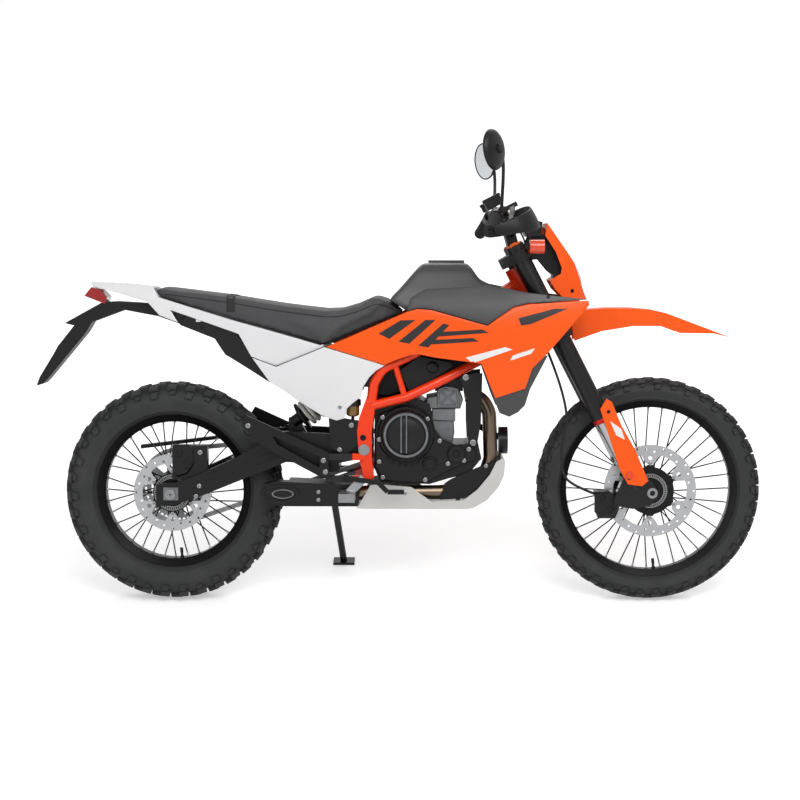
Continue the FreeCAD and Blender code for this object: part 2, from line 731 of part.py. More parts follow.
def build_front_unit():
    outer = tapered(mask_shares, mask_plan_shares, mask_halves)
    inner = tapered(mask_shares, mask_plan_shares, mask_halves, mask_wall)
    inner.translate(Vector(-mask_wall, 0, -mask_wall))
    lamp = side_prism(side_points(lamp_shares), -lamp_half, lamp_half)
    opening = side_prism(side_points(lamp_shares), -lamp_half - running_gap, lamp_half + running_gap)
    opening.translate(Vector(cut_overrun * 0.4, 0, 0))
    mask = outer.cut(inner).cut(opening).cut(lamp)
    dash = side_prism(side_points(dash_shares), -dash_half, dash_half)
    carrier = side_prism(side_points(carrier_shares), -carrier_halves[1], -carrier_halves[0])
    unit = one([lamp] + pair(carrier))
    for neighbour in mask.Solids + [dash, nodes["triple_clamps"][0]]:
        unit = unit.cut(neighbour)
    node("headlight_mask", *mask.Solids)
    node("headlight", unit)
    node("dash", dash)
    place = at(indicator_shares)
    solids = []
    for side in (-1, 1):
        centre = place + across_axis * (side * indicator_half)
        body = rod(centre - Vector(indicator_length / 2, 0, 0), centre + Vector(indicator_length / 2, 0, 0),
                   indicator_radius)
        root = steer(fork_offset + fork_tube_radius, side * (fork_spacing + clamp_wall),
                     (upper_clamp_span[0] + upper_clamp_span[1]) / 2)
        stalk = rod(root, centre, indicator_stalk_radius)
        solids.append(one([body, stalk]).cut(nodes["triple_clamps"][0]).cut(nodes["fork_tubes"][(side + 1) // 2]))
    node("indicators", *solids)


# Front fender, fork guards and front brake
fender_shares = ((0.835, 0.964), (0.858, 1.016), (0.904, 1.022), (0.960, 1.022), (1.002, 1.016), (1.031, 1.005),
                 (1.168, 0.920), (1.129, 0.935), (1.059, 0.937), (1.020, 0.961), (0.960, 0.961), (0.897, 0.943),
                 (0.841, 0.909))
fender_plan_shares = (0.830, 0.875, 0.930, 1.030, 1.120, 1.170)
fender_halves = (44, 50, 62, 62, 50, 22)
fender_wall = 4
guard_shares = ((0.903, 0.717), (0.890, 0.681), (0.931, 0.476), (0.949, 0.422), (0.978, 0.416), (0.991, 0.434),
                (0.963, 0.541), (0.934, 0.626), (0.914, 0.705))
guard_halves = (126, 130)
guard_boss_shares = (0.957, 0.440)
caliper_shares = ((0.882, 0.391), (0.931, 0.391), (0.934, 0.330), (0.926, 0.298), (0.890, 0.298))
caliper_halves = (54, 92)
hose_radius = 4
hose_bend = 40
hose_shares = ((0.785, 0.870), (0.831, 0.681), (0.811, 0.550), (0.815, 0.450), (0.840, 0.41), (0.886, 0.380))
hose_halves = (70, 100, 100, 98, 90, 80)


def build_front_trim():
    outer = tapered(fender_shares, fender_plan_shares, fender_halves)
    inner = tapered(fender_shares, fender_plan_shares, fender_halves, fender_wall)
    inner.translate(Vector(0, 0, -fender_wall))
    under = lower_clamp_span[0]
    tongue = side_prism([steer(u, 0, under + s) for u, s in fender_tongue_places], -fender_tongue_half,
                        fender_tongue_half)
    node("front_fender", one(outer.cut(inner).Solids + [tongue]))
    guard = side_prism(side_points(guard_shares), -guard_halves[1], -guard_halves[0])
    guard = one([guard, stub(guard_boss_shares, fork_spacing, guard_halves[1] - fender_wall / 2)])
    guard = guard.cut(nodes["fork_legs"][0])
    node("fork_guards", *pair(guard))
    body = side_prism(side_points(caliper_shares), -caliper_halves[1], -caliper_halves[0])
    slot = cross_rod(front_axle, front_disc_radius + pad_gap, -front_disc_side - disc_thickness,
                     -front_disc_side + disc_thickness)
    body = body.cut(slot).cut(nodes["fork_legs"][0])
    node("front_caliper", body)
    node("front_brake_hose", tube(lifted(hose_shares, hose_halves), hose_radius, hose_bend).cut(body))


fender_tongue_places = ((0, 0), (67, 0), (78, 22), (128, 47), (128, 28), (84, -6), (0, -6))
fender_tongue_half = 30

# Engine: crankcase, cylinder, covers and brackets
case_shares = ((0.425, 0.669), (0.457, 0.700), (0.519, 0.710), (0.539, 0.693), (0.554, 0.573), (0.605, 0.546),
               (0.638, 0.573), (0.647, 0.505), (0.622, 0.454), (0.581, 0.437), (0.539, 0.416), (0.436, 0.423),
               (0.424, 0.471), (0.424, 0.608))
case_half = 90
case_pocket_half = 68
case_left_share = 0.502
cylinder_shares = ((0.531, 0.541), (0.539, 0.690), (0.547, 0.759), (0.606, 0.783), (0.614, 0.690), (0.597, 0.672),
                   (0.585, 0.541))
cylinder_half = 72
clutch_radius = 73
clutch_depth = 74
clutch_base_radius = 88
clutch_base_depth = 30
ignition_radius = 66
ignition_depth = 42
sprocket_cover_shares = ((0.425, 0.620), (0.425, 0.480), (0.450, 0.450), (0.500, 0.460), (0.500, 0.640),
                         (0.470, 0.660))
sprocket_cover_wall = 8
hanger_shares = ((0.601, 0.784), (0.618, 0.796), (0.648, 0.801), (0.647, 0.738), (0.645, 0.625), (0.638, 0.560),
                 (0.629, 0.548), (0.619, 0.560), (0.617, 0.625), (0.617, 0.704))
hanger_halves = (90, 100)
airbox_shares = ((0.476, 0.808), (0.517, 0.858), (0.585, 0.836), (0.583, 0.819), (0.538, 0.775), (0.496, 0.740))
airbox_half = 100


def build_engine():
    case = side_prism(side_points(case_shares), -case_half, case_half)
    left = wheelbase * case_left_share
    pocket = Part.makeBox(left, far_overrun, seat_height, Vector(0, case_pocket_half, 0))
    shaft_radius = front_pitch_radius * cos(pi / front_teeth) - link_height / 2 - running_gap
    shaft = cross_rod(front_sprocket, shaft_radius, case_pocket_half,
                      chain_line + outer_link_half)
    cylinder = side_prism(side_points(cylinder_shares), -cylinder_half, cylinder_half)
    node("engine_case", one([case.cut(pocket), shaft]))
    node("cylinder_head", cylinder.cut(case))
    clutch = one([cross_rod(crank, clutch_base_radius, -case_half - clutch_base_depth, -case_half),
                  cross_rod(crank, clutch_radius, -case_half - clutch_depth, -case_half)])
    ignition = cross_rod(crank, ignition_radius, case_half, case_half + ignition_depth)
    cover = side_prism(side_points(sprocket_cover_shares), case_half, case_half + sprocket_cover_wall)
    node("engine_covers", clutch, one([ignition, cover]))
    node("engine_hanger", *pair(side_prism(side_points(hanger_shares), -hanger_halves[1], -hanger_halves[0])))
    node("airbox_cover", side_prism(side_points(airbox_shares), -airbox_half, airbox_half))


# Exhaust and skid plate
header_radius = 22
header_bend = 60
header_places = ((0.600, 0.720, 30), (0.646, 0.718, 30), (0.664, 0.660, 34), (0.667, 0.500, 50),
                 (0.645, 0.400, 62), (0.560, 0.385, 70), (0.430, 0.385, 82), (0.385, 0.385, 84))
muffler_shares = ((0.187, 0.388), (0.195, 0.419), (0.222, 0.430), (0.273, 0.426), (0.365, 0.419), (0.388, 0.422),
                  (0.396, 0.409), (0.390, 0.344), (0.232, 0.344), (0.204, 0.356))
muffler_halves = (78, 128)
muffler_inner_half = 12
muffler_step_share = 0.245
shield_shares = ((0.583, 0.435), (0.665, 0.495), (0.678, 0.511), (0.663, 0.451), (0.639, 0.399), (0.608, 0.368),
                 (0.560, 0.363), (0.570, 0.42))
shield_halves = (96, 100)
shield_boss_shares = ((0.602, 0.392), (0.655, 0.455))
shield_boss_half = 66
skid_shares = ((0.435, 0.418), (0.501, 0.409), (0.522, 0.383), (0.543, 0.359), (0.609, 0.363), (0.638, 0.400),
               (0.664, 0.452), (0.677, 0.496), (0.690, 0.509), (0.696, 0.496), (0.693, 0.448), (0.682, 0.409),
               (0.659, 0.365), (0.633, 0.339), (0.617, 0.333), (0.404, 0.333), (0.388, 0.335), (0.416, 0.415))
skid_half = 112
skid_floor_share = 0.335
skid_post_shares = ((0.470, 0.425), (0.600, 0.450))
skid_post_half = 30
skid_wall = 4


def build_exhaust():
    path = [Vector(wheelbase * x, -half, seat_height * z) for x, z, half in header_places]
    pipe = tube(path, header_radius, header_bend)
    pipe = pipe.cut(nodes["cylinder_head"][0])
    node("exhaust_header", pipe)
    near, far = muffler_halves
    step = wheelbase * muffler_step_share
    plan = [(0, -far), (wheelbase, -far), (wheelbase, -muffler_inner_half), (step, -muffler_inner_half), (step, -near),
            (0, -near)]
    can = side_prism(side_points(muffler_shares), -far, 0).common(plan_prism(plan, 0, seat_height))
    node("muffler", can.cut(pipe))
    shield = side_prism(side_points(shield_shares), -shield_halves[1], -shield_halves[0])
    bosses = [stub(shares, shield_boss_half, shield_halves[1] - skid_wall / 2) for shares in shield_boss_shares]
    node("heat_shield", one([shield] + bosses).cut(pipe))
    tray = side_prism(side_points(skid_shares), -skid_half, skid_half)
    hollow = side_prism(side_points(skid_shares), -skid_half + skid_wall, skid_half - skid_wall)
    hollow.translate(Vector(-skid_wall, 0, skid_wall))
    posts = []
    for shares in skid_post_shares:
        place = at(shares)
        posts.append(Part.makeBox(stub_width, stub_width, place.z - seat_height * skid_floor_share,
                                  Vector(place.x - stub_width / 2, skid_post_half,
                                         seat_height * skid_floor_share)))
    node("skid_plate", one(tray.cut(hollow).Solids + posts).cut(nodes["engine_case"][0]))


# Tank, cap, seat and body panels
tank_shares = ((0.455, 1.053), (0.475, 1.086), (0.498, 1.130), (0.516, 1.164), (0.525, 1.176), (0.616, 1.177),
               (0.626, 1.160), (0.641, 1.123), (0.666, 1.103), (0.672, 0.980), (0.655, 0.905), (0.530, 0.905),
               (0.500, 1.000), (0.492, 1.015))
tank_half = 136
tank_section_shares = ((1.00, 0.90), (1.00, 1.030), (0.88, 1.085), (0.68, 1.150), (0.50, 1.180))
wing_stubs = (((0.600, 1.030), 120), ((0.650, 1.020), 120))
shroud_stubs = (((0.570, 0.940), 120), ((0.686, 0.950), 140))
lower_shroud_stubs = (((0.690, 0.815), 140),)
side_panel_stubs = (((0.240, 0.785), 100), ((0.385, 0.772), 104))
tail_panel_stubs = (((0.060, 0.984), 70),)
cap_length = 110
cap_half = 42
cap_thickness = 8
cap_gap = 0.4
seat_shares = ((-0.038, 1.091), (-0.021, 1.095), (0.116, 1.066), (0.146, 1.058), (0.235, 1.034), (0.324, 1.016),
               (0.357, 1.018), (0.390, 1.034), (0.426, 1.060), (0.437, 1.063), (0.453, 1.053), (0.490, 1.014),
               (0.363, 0.925), (0.324, 0.897), (0.317, 0.897), (0.258, 0.926), (0.126, 0.986), (-0.026, 1.062),
               (-0.035, 1.079))
seat_plan_shares = (-0.040, 0.030, 0.150, 0.330, 0.420, 0.500)
seat_halves = (56, 82, 98, 118, 104, 92)
shroud_shares = ((0.326, 0.893), (0.492, 1.013), (0.512, 1.023), (0.541, 1.020), (0.657, 0.967), (0.662, 0.975),
                 (0.709, 1.028), (0.738, 1.040), (0.862, 1.052), (0.864, 1.037), (0.779, 0.874), (0.748, 0.823),
                 (0.734, 0.754), (0.673, 0.720), (0.644, 0.839), (0.590, 0.850), (0.548, 0.859), (0.517, 0.869),
                 (0.500, 0.867), (0.470, 0.850), (0.446, 0.832))
shroud_plan = ((0.320, 134), (0.450, 146), (0.530, 158), (0.660, 172), (0.780, 176), (0.870, 166))
wing_shares = ((0.492, 1.016), (0.512, 1.026), (0.541, 1.023), (0.657, 0.970), (0.662, 0.978), (0.709, 1.031),
               (0.738, 1.043), (0.862, 1.055), (0.736, 1.079), (0.666, 1.103), (0.530, 1.090), (0.500, 1.06))
lower_shroud_shares = ((0.645, 0.838), (0.671, 0.713), (0.682, 0.669), (0.702, 0.656), (0.720, 0.672),
                       (0.734, 0.696), (0.744, 0.751), (0.780, 0.867))
lower_shroud_plan = ((0.640, 165), (0.700, 168), (0.790, 168))
side_panel_shares = ((0.172, 0.854), (0.222, 0.824), (0.322, 0.892), (0.446, 0.830), (0.428, 0.812),
                     (0.414, 0.789), (0.402, 0.757), (0.397, 0.723), (0.379, 0.699), (0.368, 0.682), (0.367, 0.667),
                     (0.362, 0.648), (0.347, 0.641), (0.325, 0.652), (0.307, 0.667), (0.262, 0.715), (0.240, 0.741),
                     (0.208, 0.773))
side_panel_plan = ((0.160, 112), (0.300, 132), (0.380, 140), (0.460, 140))
tail_panel_shares = ((-0.169, 1.110), (-0.099, 1.106), (-0.035, 1.094), (-0.024, 1.060), (0.128, 0.984),
                     (0.259, 0.924), (0.321, 0.894), (0.221, 0.826), (0.170, 0.858), (0.144, 0.935),
                     (0.135, 0.941), (0.001, 1.017), (0.017, 0.974), (-0.022, 0.998), (-0.048, 1.044),
                     (-0.139, 1.086), (-0.165, 1.096))
tail_panel_plan = ((-0.175, 40), (-0.100, 62), (-0.030, 80), (0.130, 102), (0.240, 114), (0.330, 120))
tail_top_shares = ((-0.169, 1.110), (-0.099, 1.106), (-0.040, 1.0945), (-0.040, 1.088), (-0.099, 1.099),
                   (-0.165, 1.103))


def build_body():
    tank = side_prism(side_points(tank_shares), -tank_half, tank_half)
    section = [(tank_half * y, seat_height * z) for y, z in tank_section_shares]
    section += [(-y, z) for y, z in reversed(section)]
    tank = tank.common(front_prism(section, 0, wheelbase))
    frame = nodes["main_frame"][0]
    seat = side_prism(side_points(seat_shares), -far_overrun, far_overrun)
    plan = [(wheelbase * x, -half) for x, half in zip(seat_plan_shares, seat_halves)]
    plan += [(x, -y) for x, y in reversed(plan)]
    seat = seat.common(plan_prism(plan, 0, 2 * seat_height))
    wings = [wing.cut(tank) for wing in pair(held_panel(wing_shares, shroud_plan, wing_stubs))]
    top = at(tank_shares[5])
    cap = Part.makeBox(cap_length, 2 * cap_half, cap_thickness,
                       Vector(top.x - cap_length - cap_thickness, -cap_half, top.z + cap_gap))
    node("fuel_cap", cap)
    node("fuel_tank", tank.cut(frame).cut(seat))
    node("tank_covers", *wings)
    node("seat", seat.cut(frame))
    radiator, subframe = nodes["radiators"][0], nodes["subframe"][0]
    shroud = held_panel(shroud_shares, shroud_plan, shroud_stubs).cut(tank).cut(radiator)
    node("side_shrouds", *pair(shroud))
    node("lower_shrouds", *pair(held_panel(lower_shroud_shares, lower_shroud_plan, lower_shroud_stubs).cut(radiator)))
    node("side_panels", *pair(held_panel(side_panel_shares, side_panel_plan, side_panel_stubs).cut(subframe)))
    tail = held_panel(tail_panel_shares, tail_panel_plan, tail_panel_stubs).cut(subframe)
    xs = [wheelbase * x for x, half in tail_panel_plan[:3]]
    plan = [(x, -half) for x, (s, half) in zip(xs, tail_panel_plan)]
    plan += [(x, -y) for x, y in reversed(plan)]
    lid = side_prism(side_points(tail_top_shares), -far_overrun, far_overrun).common(
        plan_prism(plan, 0, 2 * seat_height))
    node("tail_panel", one(pair(tail) + [lid]))


# Radiators
radiator_shares = ((0.676, 0.800), (0.700, 0.800), (0.692, 0.985), (0.672, 0.985))
radiator_halves = (84, 150)
radiator_lug_shares = (0.681, 0.880)
radiator_lug_half = 50


def build_radiators():
    near, far = radiator_halves
    core = side_prism(side_points(radiator_shares), -far, -near)
    lug = stub(radiator_lug_shares, radiator_lug_half, near + panel_wall)
    node("radiators", *pair(one([core, lug]).cut(nodes["main_frame"][0])))


# Rear subframe, plate holder and tail light
subframe_shares = ((-0.001, 1.012), (0.134, 0.940), (0.153, 0.898), (0.168, 0.860), (0.193, 0.826), (0.250, 0.795),
                   (0.428, 0.790), (0.426, 0.755), (0.250, 0.751), (0.206, 0.770), (0.168, 0.810), (0.127, 0.852),
                   (0.115, 0.863), (0.105, 0.887), (0.093, 0.918), (0.021, 0.964))
subframe_plan = ((-0.010, 72), (0.130, 92), (0.250, 104), (0.430, 114))
subframe_links = ((0.03, 0.975, 70), (0.12, 0.905, 84))
subframe_wall = 14
holder_shares = ((-0.147, 1.041), (-0.118, 1.044), (-0.040, 1.036), (0.040, 0.984), (0.018, 0.966), (-0.029, 0.993),
                 (-0.100, 1.015), (-0.168, 0.973), (-0.181, 0.937), (-0.264, 0.773), (-0.273, 0.758),
                 (-0.287, 0.751), (-0.280, 0.782), (-0.249, 0.865), (-0.241, 0.889), (-0.206, 0.961),
                 (-0.226, 0.969))
holder_half = 36
lamp_tail_shares = ((-0.183, 1.064), (-0.168, 1.094), (-0.150, 1.086), (-0.135, 1.060), (-0.140, 1.036))
lamp_tail_half = 42


def build_subframe():
    rail = curved_panel(subframe_shares, subframe_plan, subframe_wall)
    links = [cross_rod(at((x, z)), cross_tube_radius, -half, half) for x, z, half in subframe_links]
    rails = one(pair(rail) + links).cut(nodes["main_frame"][0])
    node("subframe", rails)


def build_rear():
    rails = nodes["subframe"][0]
    node("plate_holder", side_prism(side_points(holder_shares), -holder_half, holder_half).cut(rails))
    lamp = side_prism(side_points(lamp_tail_shares), -lamp_tail_half, lamp_tail_half)
    node("tail_light", lamp.cut(nodes["tail_panel"][0]).cut(nodes["plate_holder"][0]))


# Shock absorber, seen between the seat and the swingarm
shock_foot_shares = (0.252, 0.622)
shock_head_shares = (0.385, 0.780)
spring_radius = 42
damper_radius = 24
spring_turns = 6
spring_span_shares = (0.16, 0.72)


def build_shock():
    foot, head = at(shock_foot_shares), at(shock_head_shares)
    foot.y = head.y = -shock_side
    run = head - foot
    length = run.Length
    start, end = (length * share for share in spring_span_shares)
    pitch = (end - start) / spring_turns
    profile = [Vector(0, 0, start - pitch), Vector(damper_radius, 0, start - pitch)]
    for turn in range(spring_turns):
        low = start + turn * pitch
        profile += [Vector(spring_radius * 0.8, 0, low), Vector(spring_radius, 0, low + pitch * 0.3),
                    Vector(spring_radius, 0, low + pitch * 0.6)]
    profile += [Vector(spring_radius * 0.8, 0, end), Vector(damper_radius, 0, end), Vector(damper_radius, 0, length),
                Vector(0, 0, length)]
    body = face_of(profile).revolve(Vector(0, 0, 0), Vector(0, 0, 1), 360)
    body.Placement = FreeCAD.Placement(foot, FreeCAD.Rotation(Vector(0, 0, 1), run))
    node("rear_shock", body.cut(nodes["swingarm"][0]))


# Footrests, controls and rear brake
peg_shares = (0.370, 0.391)
peg_length_halves = (146, 248)
peg_width = 48
peg_height = 26
peg_bracket_thickness = 14
pedal_shares = ((0.366, 0.447), (0.433, 0.430), (0.452, 0.398), (0.486, 0.398))
pedal_half = 152
pedal_boss_radius = 10
pedal_width = 10
pedal_height = 14
gear_shares = ((0.440, 0.438), (0.505, 0.430), (0.545, 0.434))
gear_half = 152
passenger_shares = ((0.151, 0.635), (0.161, 0.661), (0.330, 0.533), (0.331, 0.439), (0.314, 0.449),
                    (0.195, 0.555), (0.156, 0.616))
passenger_window_shares = ((0.215, 0.590), (0.312, 0.520), (0.312, 0.480), (0.225, 0.560))
passenger_halves = (140, 150)
rear_caliper_shares = ((0.003, 0.550), (0.076, 0.550), (0.076, 0.455), (0.040, 0.432), (0.003, 0.432))
rear_caliper_halves = (58, 97)
master_shares = ((0.330, 0.654), (0.361, 0.647), (0.400, 0.637), (0.400, 0.576), (0.365, 0.518), (0.334, 0.549))
master_halves = (106, 126)
chain_guard_shares = ((-0.081, 0.530), (0.089, 0.564), (0.200, 0.590), (0.230, 0.594), (0.218, 0.574),
                      (0.200, 0.580), (0.089, 0.552), (-0.081, 0.517))
guard_width_halves = (72, 97)
horn_shares = (0.694, 0.558)
horn_radius = 42
horn_depth = 28
horn_bracket_ends = ((0.687, 20, 0.566), (0.643, 94, 0.600))
horn_bracket_width = 20


def build_fittings():
    peg_centre = at(peg_shares)
    pegs = []
    near, far = peg_length_halves
    peg = Part.makeBox(peg_width, far - near, peg_height,
                       Vector(peg_centre.x - peg_width / 2, -far, peg_centre.z - peg_height / 2))
    arm = bar(Vector(peg_centre.x, -near - peg_bracket_thickness / 2, peg_centre.z),
              Vector(pivot.x, -spar_outer_half - peg_bracket_thickness / 2, at(cradle_shares).z),
              peg_bracket_thickness, peg_height)
    pegs += pair(one([peg, arm]))
    node("footpegs", *pegs)
    pedal = lever(pedal_shares, -pedal_half, -spar_outer_half - peg_bracket_thickness)
    gear = lever(gear_shares, gear_half, case_pocket_half)
    node("foot_controls", pedal.cut(pegs[0]), gear.cut(pegs[1]))
    outer = side_prism(side_points(passenger_shares), -passenger_halves[1], -passenger_halves[0])
    window = side_prism(side_points(passenger_window_shares), -far_overrun, 0)
    node("passenger_brackets", *pair(outer.cut(window)))
    body = side_prism(side_points(rear_caliper_shares), -rear_caliper_halves[1], -rear_caliper_halves[0])
    slot = cross_rod(rear_axle, rear_disc_radius + pad_gap, -rear_disc_side - disc_thickness,
                     -rear_disc_side + disc_thickness)
    master = side_prism(side_points(master_shares), -master_halves[1], -master_halves[0])
    node("rear_brake", body.cut(slot).cut(nodes["swingarm"][0]), master.cut(nodes["main_frame"][0]))
    guard = side_prism(side_points(chain_guard_shares), guard_width_halves[0], guard_width_halves[1])
    node("chain_guard", guard.cut(nodes["swingarm"][0]))
    horn = rod(at(horn_shares) - Vector(horn_depth / 2, 0, 0), at(horn_shares) + Vector(horn_depth / 2, 0, 0),
               horn_radius)
    start, end = [at((x, z)) + across_axis * y for x, y, z in horn_bracket_ends]
    bracket = bar(start, end, horn_bracket_width, panel_wall, Vector(0, 0, 1))
    node("horn", one([horn, bracket]).cut(nodes["engine_hanger"][1]))


def lever(table, y, boss_end):
    points = [p + across_axis * y for p in side_points(table)]
    boss = cross_rod(points[0], pedal_boss_radius, min(y, boss_end), max(y, boss_end))
    return one([bar(a, b, pedal_width, pedal_height) for a, b in zip(points, points[1:])] + [boss])


# Side stand on the left; it swings from down and out to back along the machine
stand_place = (480, 128, 352)
stand_down_shares = (0.10, 0.50, -0.86)
stand_stowed_shares = (-0.985, 0.10, 0.14)
stand_radius = 11
stand_head_radius = 17
stand_head_length = 26
stand_foot_size = (70, 52, 8)


def ground_height(y):
    """Height of the leaning machine's ground plane in this upright frame."""
    return (y - knob_flat_half) * tan(radians(lean_angle))


def stand_length():
    top = Vector(*stand_place)
    down = Vector(*stand_down_shares)
    down.normalize()
    slope = tan(radians(lean_angle))
    return (top.z - ground_height(top.y)) / (down.y * slope - down.z)


def stand_axis():
    axis = Vector(*stand_down_shares).cross(Vector(*stand_stowed_shares))
    axis.normalize()
    return axis


def stand_range():
    return degrees(Vector(*stand_down_shares).getAngle(Vector(*stand_stowed_shares)))


def build_stand():
    top = Vector(*stand_place)
    down = Vector(*stand_down_shares)
    down.normalize()
    foot = top + down * stand_length()
    ground_normal = Vector(0, -sin(radians(lean_angle)), cos(radians(lean_angle)))
    level = Vector(1, 0, 0)
    across = ground_normal.cross(level)
    length, width, thickness = stand_foot_size
    corner = foot - level * (length / 2) - across * (width / 2)
    corners = [corner, corner + level * length, corner + level * length + across * width, corner + across * width]
    pad = face_of(corners).extrude(ground_normal * thickness)
    leg = rod(top, foot - down * thickness, stand_radius)
    axis = stand_axis()
    head = rod(top - axis * (stand_head_length / 2), top + axis * (stand_head_length / 2), stand_head_radius)
    hole = rod(top - axis * stand_head_length, top + axis * stand_head_length, stand_bolt_radius + running_gap)
    node("side_stand", one([pad, leg, head]).cut(hole))
    bolt = rod(top - axis * (stand_head_length / 2 + stand_bolt_radius), top + axis * (stand_head_length / 2),
               stand_bolt_radius)
    plate_place = top - axis * (stand_head_length / 2 + stand_bolt_radius / 2 + running_gap)
    root = at(cradle_shares)
    root.y = plate_place.y - (axis.x * (root.x - plate_place.x) + axis.z * (root.z - plate_place.z)) / axis.y
    arm = bar(plate_place, root, stand_bolt_radius, stand_head_radius * 2, axis)
    nodes["main_frame"] = [one(nodes["main_frame"] + [bolt, arm])]


stand_bolt_radius = 7


# Leaning, centring and writing
def lean(shape):
    moved = shape.copy()
    moved.rotate(Vector(0, 0, 0), Vector(1, 0, 0), -lean_angle)
    return moved


def turn(vector):
    rotation = FreeCAD.Rotation(Vector(1, 0, 0), -lean_angle)
    return rotation.multVec(vector)


def write_nodes():
    leaned = {name: Part.makeCompound([lean(solid) for solid in solids]) for name, solids in nodes.items()}
    box = FreeCAD.BoundBox()
    for shape in leaned.values():
        box.add(shape.optimalBoundingBox(False, False))
    middle = Vector(box.Center.x, box.Center.y, -knob_flat_half * sin(radians(lean_angle)))
    for name, shape in leaned.items():
        shape.translate(middle * -1)
        solids = shape.Solids
        written = solids[0] if len(solids) == 1 else Part.makeCompound(solids)
        written.exportStep("parts/" + name + ".step")
    return middle


def say(name, vector):
    print(name, " ".join(f"{value:.4f}" for value in vector))


build_wheels()
build_frame()
build_swingarm()
build_axles()
build_fork()
build_handlebar()
build_mirrors()
build_front_unit()
build_front_trim()
build_engine()
build_exhaust()
build_radiators()
build_subframe()
build_body()
build_rear()
build_shock()
build_fittings()
build_stand()
middle = write_nodes()

places = {"rear_axle": rear_axle, "front_axle": front_axle, "steering": steer(0, 0, head_tube_span[0]),
          "side_stand": Vector(*stand_place), "cap_hinge": at(tank_shares[5])}
for name, place in places.items():
    say("place " + name, turn(place) - middle)
axes = {"wheel": across_axis, "steering": up_axis, "side_stand": stand_axis()}
for name, axis in axes.items():
    say("axis " + name, turn(axis))
print("stand range", round(stand_range(), 2), "links", round(belt().Length / chain_pitch))
print("origin", middle, "nodes", len(nodes))
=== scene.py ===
import json
from math import cos, pi, radians, sin, sqrt

import bmesh
import bpy
from mathutils import Matrix, Vector


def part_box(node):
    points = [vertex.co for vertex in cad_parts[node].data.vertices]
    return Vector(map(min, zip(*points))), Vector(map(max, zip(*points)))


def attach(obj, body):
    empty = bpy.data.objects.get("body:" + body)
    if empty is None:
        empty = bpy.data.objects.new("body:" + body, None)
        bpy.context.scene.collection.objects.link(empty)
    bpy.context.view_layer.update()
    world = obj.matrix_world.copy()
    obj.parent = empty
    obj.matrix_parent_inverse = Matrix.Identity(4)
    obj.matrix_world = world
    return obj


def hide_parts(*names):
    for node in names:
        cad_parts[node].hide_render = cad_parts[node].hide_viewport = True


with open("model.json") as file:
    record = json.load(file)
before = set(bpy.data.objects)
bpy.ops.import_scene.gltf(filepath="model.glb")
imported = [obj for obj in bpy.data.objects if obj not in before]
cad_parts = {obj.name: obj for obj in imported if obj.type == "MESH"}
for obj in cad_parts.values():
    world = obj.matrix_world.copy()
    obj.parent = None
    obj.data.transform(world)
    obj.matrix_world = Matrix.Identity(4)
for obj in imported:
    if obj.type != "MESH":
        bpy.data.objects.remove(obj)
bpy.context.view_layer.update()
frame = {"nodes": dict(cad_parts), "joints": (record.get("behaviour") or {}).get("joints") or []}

# The machine leans on its side stand. Its own upright frame comes from the two axles:
# x forward from the rear axle, y to the rider's left, z up from the ground, all in millimetres.
tyreRadius = {"rear": 340.6, "front": 347.7}
joints = {joint["name"]: joint for joint in frame["joints"]}
rearAxle = Vector(joints["rear_wheel_spin"]["pos_m"])
frontAxle = Vector(joints["front_wheel_spin"]["pos_m"])
leftward = Vector(joints["rear_wheel_spin"]["axis"]).normalized()
forward = Vector((1, 0, 0))
upward = forward.cross(leftward)
groundPoint = rearAxle - upward * tyreRadius["rear"] / 1000
wheelbase = (frontAxle - rearAxle).dot(forward) * 1000
seatHeight = 890


def bike(x, y, z):
    return groundPoint + (forward * x + leftward * y + upward * z) / 1000


# place by the steering axis: u ahead of it, s up it, both in millimetres
steeringPivot = Vector(joints["steering"]["pos_m"])
steeringAxis = Vector(joints["steering"]["axis"]).normalized()
pivotHeight = 566


def steered(u, y, s):
    ahead = leftward.cross(steeringAxis)
    return steeringPivot + (steeringAxis * (s - pivotHeight) + ahead * u + leftward * y) / 1000


# Camera

photo = {"lens": 78.3, "sensor": 36, "distance": 5400, "eyeX": 765, "eyeZ": 1088, "aimX": 703, "aimZ": 622}


def addCamera():
    data = bpy.data.cameras.new("camera")
    data.lens = photo["lens"]
    data.sensor_width = photo["sensor"]
    camera = bpy.data.objects.new("camera", data)
    bpy.context.collection.objects.link(camera)
    eye = bike(photo["eyeX"], -photo["distance"], photo["eyeZ"])
    aim = bike(photo["aimX"], 0, photo["aimZ"])
    back = (eye - aim).normalized()
    side = upward.cross(back).normalized()
    turn = Matrix((side, back.cross(side), back)).transposed()
    camera.matrix_world = Matrix.Translation(eye) @ turn.to_4x4()
    bpy.context.scene.camera = camera


addCamera()
print("camera placed")


# Colours and nodes

def linear(code):
    channels = [int(code[i:i + 2], 16) / 255 for i in (1, 3, 5)]
    return [c / 12.92 if c <= 0.04045 else ((c + 0.055) / 1.055) ** 2.4 for c in channels] + [1]


def addNode(tree, kind, settings=None, links=None):
    node = tree.nodes.new(kind)
    for key, value in (settings or {}).items():
        if isinstance(key, str) and hasattr(node, key):
            setattr(node, key, value)
        else:
            node.inputs[key].default_value = value
    for key, socket in (links or {}).items():
        tree.links.new(socket, node.inputs[key])
    return node


def perMetre(millimetres):
    return 1000 / millimetres


# Finishes. Noise sizes are real ones in millimetres.

bandEdge = 0.0004    # metres over which one colour turns to the next


